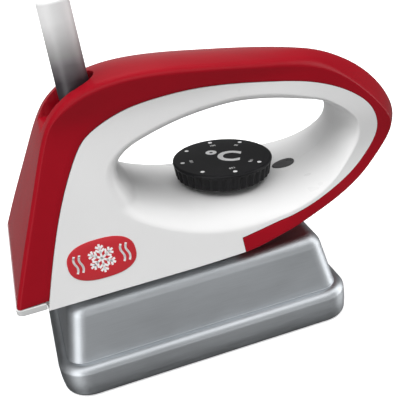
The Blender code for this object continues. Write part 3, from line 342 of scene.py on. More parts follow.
# ------------------------------------------------------------ materials
def plastic(name, colour, rough, drift=0.04, coat=0.0, grain=0.02, specular=0.5):
    """Moulded plastic: slight colour drift, roughness variation and a fine surface grain."""
    material, nt, shader = new_material(name)
    vector = coords(nt)
    cloud = noise(nt, vector, scale=38.0, detail=3.0)
    colours = drift_ramp(nt, cloud, colour, drift, low=0.3, high=0.7)
    nt.links.new(colours, shader.inputs["Base Color"])
    fine = noise(nt, vector, scale=900.0, detail=2.0)
    roughness = remap(nt, cloud, 0.3, 0.7, rough * 0.9, rough * 1.12)
    nt.links.new(roughness, shader.inputs["Roughness"])
    shader.inputs["Specular IOR Level"].default_value = specular
    shader.inputs["IOR"].default_value = 1.5
    shader.inputs["Coat Weight"].default_value = coat
    shader.inputs["Coat Roughness"].default_value = 0.05
    bump(nt, shader, fine, grain)
    return material


def brushed(name, colour, rough, stretch=(1, 22, 22), scale=70.0):
    """Metal with long fine scratches: stretched noise drives colour, roughness and bump."""
    material, nt, shader = new_material(name)
    lines = noise(nt, coords(nt, stretch), scale, detail=6.0, roughness=0.65)
    cloud = noise(nt, coords(nt, (1, 2.2, 2.2)), scale=18.0, detail=3.0)
    blend = math_node(nt, "MULTIPLY_ADD", cloud, 0.6, math_node(nt, "MULTIPLY", lines, 0.4))
    colours = drift_ramp(nt, blend, colour, drift=0.10, low=0.35, high=0.65)
    nt.links.new(colours, shader.inputs["Base Color"])
    shader.inputs["Metallic"].default_value = 1.0
    roughness = remap(nt, lines, 0.3, 0.7, rough * 0.85, rough * 1.2)
    nt.links.new(roughness, shader.inputs["Roughness"])
    bump(nt, shader, lines, strength=0.05)
    return material


def turned_metal(name, colour, rough):
    return brushed(name, colour, rough, stretch=(3, 3, 14), scale=120.0)


def boot_material():
    """Cord boot: dark at the foot as painted shade from the channel, fading to almost white at the top."""
    fade_z0, fade_z1 = 0.122, 0.168     # metres
    # the dark lower stops are painted shade at the foot of the boot, not the boot's own colour
    stops = [(0.0, (0.010, 0.009, 0.010)), (0.36, (0.034, 0.028, 0.034)),
             (0.50, (0.17, 0.16, 0.17)), (0.64, (0.42, 0.42, 0.42)),
             (0.78, (0.70, 0.70, 0.70)), (0.92, (0.95, 0.95, 0.95)), (1.0, (0.99, 0.99, 0.99))]
    material, nt, shader = new_material("boot_grey")
    vector = coords(nt)
    split = nt.nodes.new("ShaderNodeSeparateXYZ")
    nt.links.new(vector, split.inputs[0])
    cloud = noise(nt, vector, scale=60.0, detail=3.0)
    # the noise moves the fade up and down by a few millimetres
    height = math_node(nt, "MULTIPLY_ADD", cloud, 0.006, split.outputs["Z"])
    fac = remap(nt, height, fade_z0, fade_z1, 0.0, 1.0)
    nt.links.new(ramp(nt, fac, stops), shader.inputs["Base Color"])
    shader.inputs["Roughness"].default_value = 0.38
    bump(nt, shader, noise(nt, vector, scale=900.0, detail=2.0), strength=0.03)
    return material


ALUMINIUM = (0.52, 0.545, 0.57)
M_WHITE = plastic("white_plastic", (0.77, 0.77, 0.77), rough=0.30, drift=0.012, specular=0.4)
M_RED = plastic("red_gloss", (0.315, 0.004, 0.012), rough=0.22, drift=0.05, grain=0.012,
                specular=0.10)
M_BADGE = plastic("badge_red", (0.50, 0.012, 0.022), rough=0.30, drift=0.03)
M_INK = plastic("white_ink", (0.86, 0.86, 0.86), rough=0.45, drift=0.03)
M_DIAL = plastic("dial_black", (0.011, 0.011, 0.012), rough=0.36, drift=0.12, grain=0.05,
                 specular=0.14)
M_LENS = plastic("lens_smoke", (0.045, 0.045, 0.047), rough=0.26, drift=0.10, specular=0.3)
M_BALL = plastic("ball_dark", (0.02, 0.02, 0.022), rough=0.5, drift=0.1)
M_CORD = plastic("cord_grey", (0.30, 0.30, 0.31), rough=0.5, drift=0.05)
M_SOLE = brushed("sole_aluminium", ALUMINIUM, rough=0.41)
M_COVER = brushed("cover_aluminium", ALUMINIUM, rough=0.42)
M_STEEL = turned_metal("plated_steel", (0.55, 0.55, 0.57), rough=0.32)
# standoff tubes: steel darkened as painted shade of the gap between cover and handle
M_SHADED_TUBE = turned_metal("steel_darkened_painted_shade", (0.13, 0.13, 0.135), rough=0.5)
M_BRASS = turned_metal("brass", (0.66, 0.47, 0.19), rough=0.30)
M_BIMETAL = brushed("bimetal", (0.48, 0.40, 0.33), rough=0.4)
M_SHEATH = brushed("element_sheath", (0.16, 0.15, 0.145), rough=0.5)
M_CERAMIC = plastic("ceramic", (0.74, 0.71, 0.64), rough=0.6, drift=0.05, grain=0.2)
M_FELT = plastic("mineral_felt", (0.52, 0.48, 0.40), rough=0.95, drift=0.15, grain=0.9)
M_BLOCK = plastic("block_plastic", (0.78, 0.77, 0.70), rough=0.5)
M_GLASS = plastic("lamp_glass", (0.75, 0.42, 0.25), rough=0.1, drift=0.1, coat=0.8)
M_BROWN = plastic("wire_brown", (0.16, 0.06, 0.02), rough=0.45, drift=0.1)
M_BLUE = plastic("wire_blue", (0.03, 0.10, 0.40), rough=0.45, drift=0.1)
M_GREEN = plastic("wire_green_yellow", (0.30, 0.42, 0.03), rough=0.45, drift=0.1)
M_SLEEVE = plastic("glass_sleeve", (0.68, 0.68, 0.64), rough=0.8, drift=0.08, grain=0.6)
M_BOOT = boot_material()


# ------------------------------------------------------------ sole and heater cover
def build_sole():
    side_inset, swell = 0.45, 6.6       # the side is fullest this far above the bottom round
    profile = []                        # height, inset
    for k in range(9):
        angle = math.radians(90 * k / 8)
        profile.append((SOLE_BOTTOM_R * (1 - math.cos(angle)),
                        SOLE_BOTTOM_R * (1 - math.sin(angle)) + side_inset))
    for k in range(1, 9):
        f = k / 8
        profile.append((SOLE_BOTTOM_R + swell * f, side_inset * (1 - f) ** 2))
    for k in range(1, 15):
        angle = math.radians(90 * k / 14)
        profile.append((SOLE_T - SOLE_TOP_R * (1 - math.sin(angle)),
                        SOLE_TOP_R * (1 - math.cos(angle))))
    rings = [ring(z, SOLE_HALF_X - inset, SOLE_HALF_Y - inset, SOLE_CORNER - inset)
             for z, inset in profile]
    # the flat top is carried in under the cover
    rings.append(ring(SOLE_T, 66.0, 40.8, 8.0))
    rings.append(ring(SOLE_T, 60.0, 36.0, 6.0))
    obj = loft("sole", rings)
    sharp_by_angle(obj, 40)
    drill_standoffs(obj, radius=2.3, top=20.0, bottom=6.0, seg=24)
    drill(obj, radius=1.9, top=20.0, bottom=8.0, seg=24, loc=(CLAMP_SCREW_X, 0, 0))
    weighted(obj)
    piece(obj, M_SOLE, "iron", ["sole_plate"])


def cover_ring(z, inset, corner):
    """Ring of the tapering cover at height z."""
    f = (z - COVER_Z0) / (COVER_Z1 - COVER_Z0)
    half_x, half_y = (b + (t - b) * f - inset for b, t in zip(COVER_BOTTOM, COVER_TOP))
    return ring(z, half_x, half_y, corner)


def build_cover():
    foot_r = 0.3
    outer = []
    for k in range(5):
        angle = math.radians(90 * k / 5)
        flare = foot_r * (1 - math.sin(angle))
        z = COVER_Z0 + foot_r * (1 - math.cos(angle))
        outer.append(cover_ring(z, -flare, COVER_CORNER + flare))
    for z in (COVER_Z0 + foot_r, 25.0, 33.0):
        outer.append(cover_ring(z, 0, COVER_CORNER))
    for k in range(13):
        angle = math.radians(90 * k / 12)
        inset = COVER_TOP_R * (1 - math.cos(angle))
        z = COVER_Z1 - COVER_TOP_R * (1 - math.sin(angle))
        outer.append(cover_ring(z, inset, max(2.0, COVER_CORNER - inset * 0.9)))
    inner = [cover_ring(COVER_Z0, COVER_WALL, COVER_CORNER - COVER_WALL)]
    inner_r = COVER_TOP_R - COVER_WALL
    for k in range(5):
        angle = math.radians(90 * k / 4)
        inset = COVER_WALL + inner_r * (1 - math.cos(angle))
        z = COVER_Z1 - COVER_WALL - inner_r * (1 - math.sin(angle))
        inner.append(cover_ring(z, inset, max(1.2, COVER_CORNER - inset)))
    obj = loft("cover", inner[::-1] + outer)
    drill_standoffs(obj, radius=4.4, top=60.0, bottom=30.0, seg=40)
    # spindle hole, then the centre opening
    drill(obj, radius=8.0, top=60.0, bottom=30.0, seg=48, loc=(26.3, 0, 0))
    drill(obj, radius=6.0, top=60.0, bottom=30.0, seg=40, loc=(CENTRE_HOLE_X, 0, 0))
    sharp_by_angle(obj, 40)
    weighted(obj)
    piece(obj, M_COVER, "iron", ["heater_cover"])


# ------------------------------------------------------------ handle surface
# Stations run round the handle loop: up the heel, forward over the grip, down round the nose
# and back along the underside. "Outer" faces away from the hand opening, "inner" faces it.
# Columns: (x, z) of the outer centre line, outer edge, seam, inner edge, inner centre line;
# outer crown share, outer edge radius, inner crown share, inner edge radius, keel blend.
STATIONS = [
    ((-68.5, 51.5), (-68.5, 51.5), (-68.2, 52.4), (-29.0, 82.5), (-17.0, 81.0), 0.1, 3.0, 0.3, 11.0, 0.0),
    ((-81.4, 54.9), (-79.6, 54.9), (-67.2, 55.4), (-29.8, 85.5), (-18.6, 83.6), 0.0, 3.0, 0.3, 10.0, 0.0),
    ((-72.9, 74.0), (-70.7, 74.0), (-59.7, 74.0), (-31.0, 90.0), (-21.2, 88.2), 0.0, 3.0, 0.3, 8.0, 0.0),
    ((-62.3, 96.0), (-60.2, 96.2), (-50.8, 92.5), (-31.4, 95.5), (-23.4, 93.0), 0.0, 3.0, 0.3, 6.0, 0.0),
    ((-52.1, 117.7), (-49.6, 118.6), (-38.9, 110.6), (-28.7, 101.2), (-23.2, 98.0), 0.1, 3.2, 0.3, 5.0, 0.0),
    ((-43.7, 127.6), (-42.2, 125.0), (-31.3, 115.9), (-23.6, 105.4), (-20.2, 101.9), 0.3, 3.6, 0.3, 4.5, 0.0),
    ((-32.8, 133.8), (-31.2, 130.0), (-23.1, 119.2), (-16.5, 108.7), (-14.6, 104.8), 0.35, 4.0, 0.3, 4.5, 0.0),
    ((-16.0, 136.6), (-15.6, 132.8), (-12.5, 122.0), (-7.0, 111.4), (-6.0, 107.1), 0.35, 4.0, 0.3, 4.5, 0.0),
    ((3.0, 135.8), (3.0, 132.0), (2.5, 123.2), (5.5, 113.9), (5.5, 109.6), 0.35, 4.0, 0.3, 4.5, 0.0),
    ((22.0, 133.1), (22.0, 129.2), (20.0, 123.0), (20.0, 115.6), (20.0, 111.2), 0.35, 4.0, 0.3, 4.5, 0.0),
    ((44.0, 129.2), (43.8, 125.6), (40.0, 120.4), (37.0, 115.8), (37.0, 111.5), 0.35, 4.0, 0.3, 4.5, 0.0),
    ((64.0, 125.9), (63.29, 121.4), (57.9, 116.82), (53.22, 112.98), (53.0, 108.9), 0.35, 5.0, 0.3, 4.5, 0.0),
    ((81.7, 122.7), (79.28, 116.56), (71.79, 113.06), (67.04, 108.2), (65.5, 105.2), 0.3, 6.0, 0.3, 5.5, 0.45),
    ((98.2, 114.1), (91.74, 109.13), (84.53, 107.67), (78.33, 103.55), (76.5, 101.8), 0.15, 8.0, 0.3, 7.5, 0.9),
    ((110.6, 103.7), (101.95, 99.19), (95.16, 100.93), (87.14, 97.07), (84.4, 96.8), 0.0, 9.0, 0.3, 9.5, 1.0),
    ((119.4, 91.4), (109.31, 89.89), (102.32, 93.76), (92.75, 91.08), (89.6, 91.9), 0.0, 9.0, 0.3, 11.0, 1.0),
    ((122.5, 80.1), (113.36, 82.26), (105.29, 85.37), (94.91, 85.18), (91.0, 87.8), 0.0, 9.0, 0.3, 12.0, 1.0),
    ((117.6, 70.5), (109.87, 75.64), (103.34, 78.08), (93.16, 78.67), (89.8, 82.6), 0.0, 9.0, 0.3, 12.0, 1.0),
    ((108.8, 63.3), (102.22, 69.37), (96.41, 71.88), (87.44, 73.53), (85.2, 77.6), 0.0, 9.0, 0.3, 12.0, 1.0),
    ((95.1, 57.5), (90.77, 63.41), (86.7, 67.03), (79.68, 69.12), (78.8, 71.8), 0.0, 9.0, 0.3, 12.5, 1.0),
    ((77.6, 53.8), (75.55, 59.9), (73.36, 64.01), (69.89, 65.22), (68.4, 68.2), 0.0, 8.0, 0.3, 13.0, 1.0),
    ((60.4, 52.1), (59.07, 58.02), (57.74, 62.03), (56.29, 63.23), (56.8, 66.9), 0.0, 7.0, 0.3, 13.0, 1.0),
    ((45.0, 51.5), (43.6, 55.8), (43.2, 61.0), (42.5, 62.3), (43.0, 66.9), 0.0, 5.0, 0.3, 13.0, 0.85),
    ((31.0, 51.5), (31.0, 53.2), (31.0, 59.2), (30.5, 61.0), (30.5, 68.2), 0.0, 3.0, 0.3, 11.5, 0.45),
    ((22.0, 51.5), (22.0, 52.0), (22.0, 58.0), (18.0, 61.4), (18.0, 69.4), 0.0, 1.5, 0.3, 12.0, 0.0),
    ((0.0, 51.5), (0.0, 51.5), (0.0, 56.5), (1.5, 64.6), (6.0, 71.2), 0.0, 1.5, 0.3, 12.0, 0.0),
    ((-26.0, 51.5), (-26.0, 51.5), (-24.0, 57.0), (-13.5, 71.0), (-4.5, 74.6), 0.0, 1.5, 0.3, 12.0, 0.0),
    ((-52.0, 51.5), (-52.0, 51.5), (-48.0, 56.5), (-24.0, 77.2), (-12.5, 78.2), 0.0, 1.5, 0.3, 12.0, 0.0),
]
RED_START, RED_END = 1, 24              # stations between which the rim is red
BREAKS = {0, RED_START, RED_END}        # stations where the outer curves may kink
OUTER_COLS = 6                          # flattened columns of the first three points
INNER_X, INNER_Z = 8, 9                 # flattened columns of the inner centre line
SAMPLES = 20                            # table rows per station
FAIR_PASSES = 90


def half_width(z):
    width = HALF_BASE - HALF_SLOPE * (max(z, HANDLE_Z) - HALF_Z0)
    excess = width - HALF_TOP
    return HALF_TOP + 0.5 * (excess + math.sqrt(excess * excess + HALF_BLEND))


def side_y(x, z):
    """Half width on the side face: the nose narrows in plan, most of all low down."""
    width = half_width(z)
    if x > NARROW_X0:
        low = 1.0 + LOW_NARROW * math.exp(-((z - LOW_NARROW_Z) / LOW_NARROW_SPREAD) ** 2)
        reach = ((x - NARROW_X0) / NARROW_LENGTH) ** NARROW_POWER
        width *= 1.0 - NARROW_LIMIT * math.tanh(NARROW_RATE / NARROW_LIMIT * reach * low)
    return width


def raw_station(t):
    """Cubic interpolation of the stations; the outer columns are free to kink at breaks."""
    n = len(STATIONS)
    whole = math.floor(t + 1e-9)
    i, f = whole % n, t - whole
    around = [STATIONS[(i + k) % n] for k in (-1, 0, 1, 2)]
    p0, p1, p2, p3 = [[c for p in s[:5] for c in p] + list(s[5:]) for s in around]
    start_break, end_break = i in BREAKS, (i + 1) % n in BREAKS
    f2, f3 = f * f, f * f * f
    out = []
    for k in range(len(p1)):
        slope1, slope2 = (p2[k] - p0[k]) * 0.5, (p3[k] - p1[k]) * 0.5
        chord = p2[k] - p1[k]
        outer = k < OUTER_COLS
        if start_break and outer:
            slope1 = chord if end_break else 1.5 * chord - 0.5 * slope2
        if end_break and outer:
            slope2 = chord if start_break else 1.5 * chord - 0.5 * slope1
        out.append((2 * f3 - 3 * f2 + 1) * p1[k] + (f3 - 2 * f2 + f) * slope1
                   + (-2 * f3 + 3 * f2) * p2[k] + (f3 - f2) * slope2)
    return out


def fair(table, low, high, cols):
    """Laplacian fairing of columns in the rows strictly between low and high."""
    n = len(table)
    for _ in range(FAIR_PASSES):
        new = [list(row) for row in table]
        for k in range(low + 1, high):
            before, after = table[(k - 1) % n], table[(k + 1) % n]
            for c in cols:
                new[k % n][c] = 0.5 * table[k % n][c] + 0.25 * (before[c] + after[c])
        table = new
    return table


# Sampled densely and faired, so that the mouldings carry smooth highlights.
TABLE = [raw_station(k / SAMPLES) for k in range(len(STATIONS) * SAMPLES)]
TABLE = fair(TABLE, RED_START * SAMPLES, RED_END * SAMPLES, range(0, OUTER_COLS))
TABLE = fair(TABLE, -1, len(TABLE), range(OUTER_COLS, 15))


def station(t):
    n = len(TABLE)
    x = (t % len(STATIONS)) * SAMPLES
    i = int(math.floor(x + 1e-9))
    f = x - i
    if f < 1e-6:
        return TABLE[i % n]
    return [p + (q - p) * f for p, q in zip(TABLE[i % n], TABLE[(i + 1) % n])]


def keel(a):
    """Section across the nose: straight flanks, rounded keel, small round at the side band."""
    lift, corner, soft = 0.955, 0.09, 0.30

    def hull(q):
        return lift * (math.sqrt(q * q + soft * soft) - soft) / (math.sqrt(1 + soft * soft) - soft)

    if a <= 1 - corner:
        return hull(a)
    f = (a - 1 + corner) / corner
    u = 1 - math.sqrt(max(0.0, 1 - f))
    return (1 - u) ** 2 * hull(1 - corner) + 2 * u * (1 - u) * lift + u * u


def edge_share(radius, edge):
    """Edge radius as a share of the half width at the edge."""
    return min(0.98, max(0.03, radius / side_y(edge.x, edge.y)))


def section(t, cols, mid):
    """Points of one half section, from the outer centre line round to the inner one.

    Points are kept at least mid away from the centre plane.
    """
    row = station(t)
    outer_mid, outer_edge, seam, inner_edge, inner_mid = [
        Vector((row[2 * k], row[2 * k + 1])) for k in range(5)]
    outer_crown, outer_r, inner_crown, inner_r, keel_blend = row[10:15]
    points = []
    for kind, v in cols:
        if kind in ("outer_flat", "outer_arc"):
            share = edge_share(outer_r, outer_edge)
            if kind == "outer_flat":
                a, drop = (1 - share) * v, 0.0
            else:
                a, drop = 1 - share + share * math.sin(v), 1 - math.cos(v)
            plain = outer_crown * a * a + (1 - outer_crown) * drop
            depth = (1 - keel_blend) * plain + keel_blend * keel(a)
            p = outer_mid + (outer_edge - outer_mid) * depth
            y = max(mid, a * side_y(p.x, p.y))
        elif kind in ("inner_flat", "inner_arc"):
            share = edge_share(inner_r, inner_edge)
            if kind == "inner_flat":
                a, drop = (1 - share) * (1 - v), 0.0
            else:
                a, drop = 1 - share + share * math.cos(v), 1 - math.sin(v)
            depth = inner_crown * a * a + (1 - inner_crown) * drop
            p = inner_mid + (inner_edge - inner_mid) * depth
            y = max(mid, a * side_y(p.x, p.y))
        else:
            if kind == "red_side":
                p = outer_edge + (seam - outer_edge) * v
            elif kind == "white_side":
                p = seam + (inner_edge - seam) * v
            else:
                across = inner_edge - outer_edge
                across = across / max(across.length, 1e-6)
                p = seam + across * (GAP * (0.5 if kind == "seam_white" else -0.5))
            y = side_y(p.x, p.y)
        points.append(Vector((p.x, y, p.y)))
    return points


def columns(outer_flat, outer_arc, red_side, white_side, inner_arc, inner_flat):
    """Kinds and parameters of the section points, from the step count of each part."""
    quarter = math.pi / 2
    cols = [("outer_flat", k / outer_flat) for k in range(outer_flat)]
    cols += [("outer_arc", quarter * k / outer_arc) for k in range(outer_arc + 1)]
    cols += [("red_side", k / (red_side + 1)) for k in range(1, red_side + 1)]
    cols += [("seam_red", 0.0), ("seam_white", 0.0)]
    cols += [("white_side", k / (white_side + 1)) for k in range(1, white_side + 1)]
    cols += [("inner_arc", quarter * k / inner_arc) for k in range(inner_arc + 1)]
    cols += [("inner_flat", k / inner_flat) for k in range(1, inner_flat + 1)]
    return cols


def trough(point):
    """Channel for the cord boot: lowers the outer skin over a plan shape open to the rear."""
    blend, wall_slope, floor_margin = 1.6, 16.0, 0.9
    x, y, z = point
    pivot_x = CORD_PIVOT[0]
    if x < pivot_x:
        outside = abs(y) - WELL_HALF
    else:
        outside = math.hypot(x - pivot_x, y) - WELL_HALF
    if outside > 3.0 or z < WELL_FLOOR - 4:
        return point
    wall = WELL_FLOOR + max(0.0, outside + floor_margin) * wall_slope
    h = max(blend - abs(z - wall), 0.0) / blend
    return Vector((x, y, min(z, wall) - h * h * blend * 0.25))


# ------------------------------------------------------------ handle mouldings
def row_positions(colour):
    """Station positions of the mesh rows: finer at the cord well (red) and round the nose."""
    rows = []
    for i in range(len(STATIONS)):
        steps = 8
        if colour == "red" and i in (3, 4):
            steps = 26
        elif colour == "red" and i in (5, 6):
            steps = 40
        elif 13 <= i <= 19 or i in (25, 26, 27, 0):
            steps = 12
        rows += [i + k / steps for k in range(steps)]
    # two rows half a seam away take the place of the one where the red ends
    edge_x = [STATIONS[RED_END + k][1][0] for k in (-1, 0, 1)]
    before, after = edge_x[0] - edge_x[1], edge_x[1] - edge_x[2]
    half_gap = 0.5 * GAP / before
    rows = [t for t in rows if abs(t - RED_END) > 0.02]
    return sorted(rows + [RED_END - half_gap, RED_END + half_gap * before / after])


def skin_normals(grid):
    rows, count = len(grid), len(grid[0])
    normals = []
    for i in range(rows):
        line = []
        for j in range(count):
            along = grid[(i + 1) % rows][j] - grid[(i - 1) % rows][j]
            across = grid[i][min(j + 1, count - 1)] - grid[i][max(j - 1, 0)]
            normal = along.cross(across)
            if j in (0, count - 1):
                normal.y = 0.0
            line.append(normal.normalized() if normal.length > 1e-9 else Vector((0, 1, 0)))
        normals.append(line)
    return normals


def at_well(colour, t):
    return colour == "red" and 3.0 < t < 7.2


def pivot_distance(v):
    """Distance in plan from the cord pivot."""
    return math.hypot(v.x - CORD_PIVOT[0], v.y)


def inner_point(colour, t, v, normal, on_centre, mid):
    """Point of the inner wall behind skin point v."""
    thin = colour == "white" and 16.5 < t < 23.0       # lower part of the nose
    q = v - normal * (WALL * 0.45 if thin else WALL)
    if colour == "white" and abs(v.z - HANDLE_Z) < 1e-4:
        q = Vector((v.x, v.y - WALL, v.z))
    if colour == "red" and abs(t - RED_START) < 1e-6:
        q.z = v.z
    if at_well(colour, t) and pivot_distance(v) < WELL_HOLE + 2.0 and v.z < WELL_FLOOR + 2:
        q = Vector((v.x, v.y, v.z - 1.6))
    if on_centre:
        q.y = v.y
    q.y = max(q.y, mid)
    return q


def moulding(name, colour, side):
    """Red rim over both sides, or the white shell of one side (+1 left, -1 right)."""
    if colour == "red":
        cols = columns(outer_flat=30, outer_arc=12, red_side=3,
                       white_side=1, inner_arc=1, inner_flat=1)
        mid = 0.0
    else:
        cols = columns(outer_flat=1, outer_arc=3, red_side=3,
                       white_side=6, inner_arc=14, inner_flat=8)
        mid = 0.04
    kinds = [kind for kind, _ in cols]
    seam_col = kinds.index("seam_red")
    edge_col = kinds.index("red_side") - 1      # end of the outer arc
    rows = row_positions(colour)
    grid = [section(t, cols, mid) for t in rows]
    row_count, col_count = len(rows), len(cols)
    # normals of the undisturbed skin, for the inner wall
    normals = skin_normals(grid)
    for i, t in enumerate(rows):
        if at_well(colour, t):
            for j in range(edge_col + 1):
                grid[i][j] = trough(grid[i][j])

    def corners(i, j):
        after = (i + 1) % row_count
        return [(i, j), (after, j), (after, j + 1), (i, j + 1)]

    def wanted(i, j):
        start = rows[i]
        end = rows[i + 1] if i + 1 < row_count else len(STATIONS)
        if colour == "white":
            return j > seam_col or (start > RED_END and j >= edge_col)
        if start < RED_START - 1e-6 or end > RED_END + 1e-6 or j >= seam_col:
            return False
        centre = sum([grid[a][b] for a, b in corners(i, j)], Vector((0, 0, 0))) / 4
        in_hole = pivot_distance(centre) < WELL_HOLE and centre.z < WELL_FLOOR + 1.0
        return not in_hole

    cells = [corners(i, j) for i in range(row_count) for j in range(col_count - 1)
             if wanted(i, j)]
    used = sorted({key for cell in cells for key in cell})
    index = {key: k for k, key in enumerate(used)}
    verts = [grid[i][j].copy() for i, j in used]
    skin = [[index[key] for key in cell] for cell in cells]
    edges = {}      # a dict, so that the edges keep their order
    for quad in skin:
        for edge in zip(quad, quad[1:] + quad[:1]):
            edges[edge] = True
    polys = list(skin)
    inside = {}

    def inner_of(k):
        if k not in inside:
            i, j = used[k]
            on_centre = j in (0, col_count - 1)
            q = inner_point(colour, rows[i], verts[k], normals[i][j], on_centre, mid)
            inside[k] = len(verts)
            verts.append(q)
        return inside[k]

    # the border folds inward by the wall thickness, except on the red centre line
    for a, b in edges:
        on_centre = colour == "red" and verts[a].y < 1e-6 and verts[b].y < 1e-6
        if (b, a) not in edges and not on_centre:
            polys.append([b, a, inner_of(a), inner_of(b)])
    if colour == "white":
        # the white halves have their whole inner wall
        for quad in skin:
            polys.append([inner_of(k) for k in reversed(quad)])
    mirrored = [Vector((v.x, -v.y, v.z)) for v in verts]
    if colour == "red":
        first = len(verts)
        verts = verts + mirrored
        polys = polys + [[first + k for k in reversed(p)] for p in polys]
    elif side < 0:
        verts = mirrored
    return mesh_obj(name, [v * MM for v in verts], polys)


def build_rim():
    rim = moulding("rim", "red", 1)
    edge_round(rim, 0.28, segments=2, angle=55)
    sharp_by_angle(rim, 60)
    piece(rim, M_RED, "iron", ["rim_cover"])


def add_screw_seat(shell, key, x, z):
    """Countersunk seat in the shell's side, with a boss behind it."""
    side = half_width(z)
    bore_r, boss_r, flange_r = 1.95, 4.4, 4.9
    drill(shell, radius=3.6, top=60.0, bottom=side - 6.0, seg=40, loc=(x, 0, z), axis="Y")
    profile = [(bore_r, side - 6.2), (boss_r, side - 6.2), (boss_r, side - 1.6),
               (flange_r, side - 1.6), (flange_r, 0.3), (bore_r, 0.3)]
    boss = lathe("boss_" + key, profile, 32, (x, 0, z), axis="Y")
    piece(boss, M_WHITE, "iron", [])


def build_shells():
    for side, tag in ((1, "left"), (-1, "right")):
        shell = moulding("shell_" + tag, "white", side)
        drill(shell, radius=4.6, top=5.0, bottom=-14.0, seg=48, loc=DIAL_AXIS, tilt=DIAL_TILT)
        if side > 0:
            for key, (x, z) in SHELL_SCREWS.items():
                add_screw_seat(shell, key, x, z)
        edge_round(shell, 0.22, segments=2, angle=55)
        weighted(shell)
        piece(shell, M_WHITE, "iron", ["body_shell_" + tag])


def build_bottom():
    """Bottom plate: wide at the heel, stepped in between the shells' lower edges."""
    step_x = STATIONS[0][0][0] - GAP * 0.5 - 0.1
    front_x, narrow, corner = 21.5, 41.7, 3.2
    wide = HALF_BASE + 0.25

    def heel_corner(y, start):
        for k in range(9):
            angle = math.radians(start + 90 * k / 8)
            outline.append((HEEL_X + corner + corner * math.cos(angle),
                            y + corner * math.sin(angle)))

    outline = []
    heel_corner(-wide + corner, 180)
    outline += [(step_x, -wide), (step_x, -narrow), (front_x, -narrow),
                (front_x, narrow), (step_x, narrow), (step_x, wide)]
    heel_corner(wide - corner, 90)
    obj = loft("bottom_plate", [[(x, y, z) for x, y in outline]
                                for z in (HANDLE_Z, HANDLE_Z + PLATE_T + 0.15)])
    drill_standoffs(obj, radius=2.4, top=60.0, bottom=45.0, seg=24)
    drill(obj, radius=5.5, top=60.0, bottom=45.0, seg=32, loc=(CENTRE_HOLE_X, 0, 0))
    edge_round(obj, 0.7, segments=4, angle=40)
    weighted(obj)
    piece(obj, M_WHITE, "iron", ["handle_bottom_plate"])


# ------------------------------------------------------------ dial
FLUTES, FLUTE_STEPS, FLUTE_DEPTH = 36, 12, 0.95
# radius, height below the dial top, share of the flute depth
DIAL_PROFILE = [
    (4.0, -2.4, 0), (14.6, -2.4, 0), (14.9, -3.2, 0), (15.0, -DIAL_H + 0.3, 0),
    (15.4, -DIAL_H, 0), (DIAL_R - 2.2, -DIAL_H, 0.1), (DIAL_R - 1.6, -DIAL_H + 0.12, 0.5),
    (DIAL_R - 1.25, -DIAL_H + 0.5, 0.9), (DIAL_R - 1.1, -DIAL_H + 1.1, 1.0),
    (DIAL_R - 0.9, -6.0, 1.0), (DIAL_R - 0.65, -4.4, 1.0), (DIAL_R - 0.45, -3.0, 1.0),
    (DIAL_R - 0.3, -2.3, 0.95), (DIAL_R - 0.2, -1.8, 0.6), (DIAL_R - 0.1, -1.45, 0.2),
    (DIAL_R, -1.15, 0.0), (DIAL_R - 0.03, -0.8, 0.0), (DIAL_R - 0.2, -0.42, 0.0),
    (DIAL_R - 0.55, -0.14, 0.0), (DIAL_R - 1.0, -0.02, 0.0), (DIAL_R - 1.4, 0.0, 0.0),
    (15.0, 0.0, 0.0), (8.0, 0.0, 0.0), (0.5, 0.0, 0.0),
]
DOT_CIRCLE_R, DOT_R, DOT_SEG = 20.1, 1.05, 28
MARK_CIRCLE_R = 15.6
MARKS = {45: "80", 90: "100", 180: "130", 270: "150", 315: "170"}    # degrees: temperature


def dial_point(x, y, z):
    tilt = Matrix.Rotation(math.radians(DIAL_TILT), 4, "Y")
    return (Matrix.Translation(Vector(DIAL_TOP)) @ tilt @ Vector((x, y, z))) * MM


def build_dial_knob():
    n = FLUTES * FLUTE_STEPS
    rings = []
    for radius, z, share in DIAL_PROFILE:
        points = []
        for k in range(n):
            angle = 2 * math.pi * k / n
            wave = math.sin(math.pi * (k % FLUTE_STEPS) / FLUTE_STEPS) ** 2
            r = radius - share * FLUTE_DEPTH * wave
            points.append((r * math.cos(angle), r * math.sin(angle), z))
        rings.append(points)
    knob = loft("dial", rings)
    place(knob, DIAL_TOP, DIAL_TILT)
    sharp_by_angle(knob, 50)
    piece(knob, M_DIAL, "dial", ["dial_knob"])
    profile = round_profile([(3.05, -2.3), (6.0, -2.3), (6.0, -7.6), (3.05, -7.6)],
                            [0, 0, 0.4, 0])
    hub = lathe("dial_hub", profile, 64, DIAL_TOP, DIAL_TILT)
    piece(hub, M_DIAL, "dial", [])


def build_spindle():
    profile = [(0, -2.8), (2.5, -2.8), (2.75, -3.2), (2.75, -40.0), (2.2, -40.6), (0, -40.6)]
    spindle = lathe("spindle", profile, 40, DIAL_AXIS, DIAL_TILT, sharp=30)
    piece(spindle, M_STEEL, "dial", ["thermostat_spindle"])


def build_dial_dot(k):
    """Printed dot, a thin disc standing just proud of the dial."""
    top, bottom, n = 0.02, -0.05, DOT_SEG
    angle = math.radians(45 * k)
    x, y = DOT_CIRCLE_R * math.cos(angle), DOT_CIRCLE_R * math.sin(angle)
    verts = [dial_point(x, y, top)]
    for z in (top, bottom):
        for j in range(n):
            turn = 2 * math.pi * j / n
            verts.append(dial_point(x + DOT_R * math.cos(turn), y + DOT_R * math.sin(turn), z))
    faces = [[0, 1 + j, 1 + (j + 1) % n] for j in range(n)]
    faces += [[1 + j, 1 + n + j, 1 + n + (j + 1) % n, 1 + (j + 1) % n] for j in range(n)]
    dot = mesh_obj("dial_dot_%d" % k, verts, faces, smooth=False)
    piece(dot, M_INK, "dial", [])


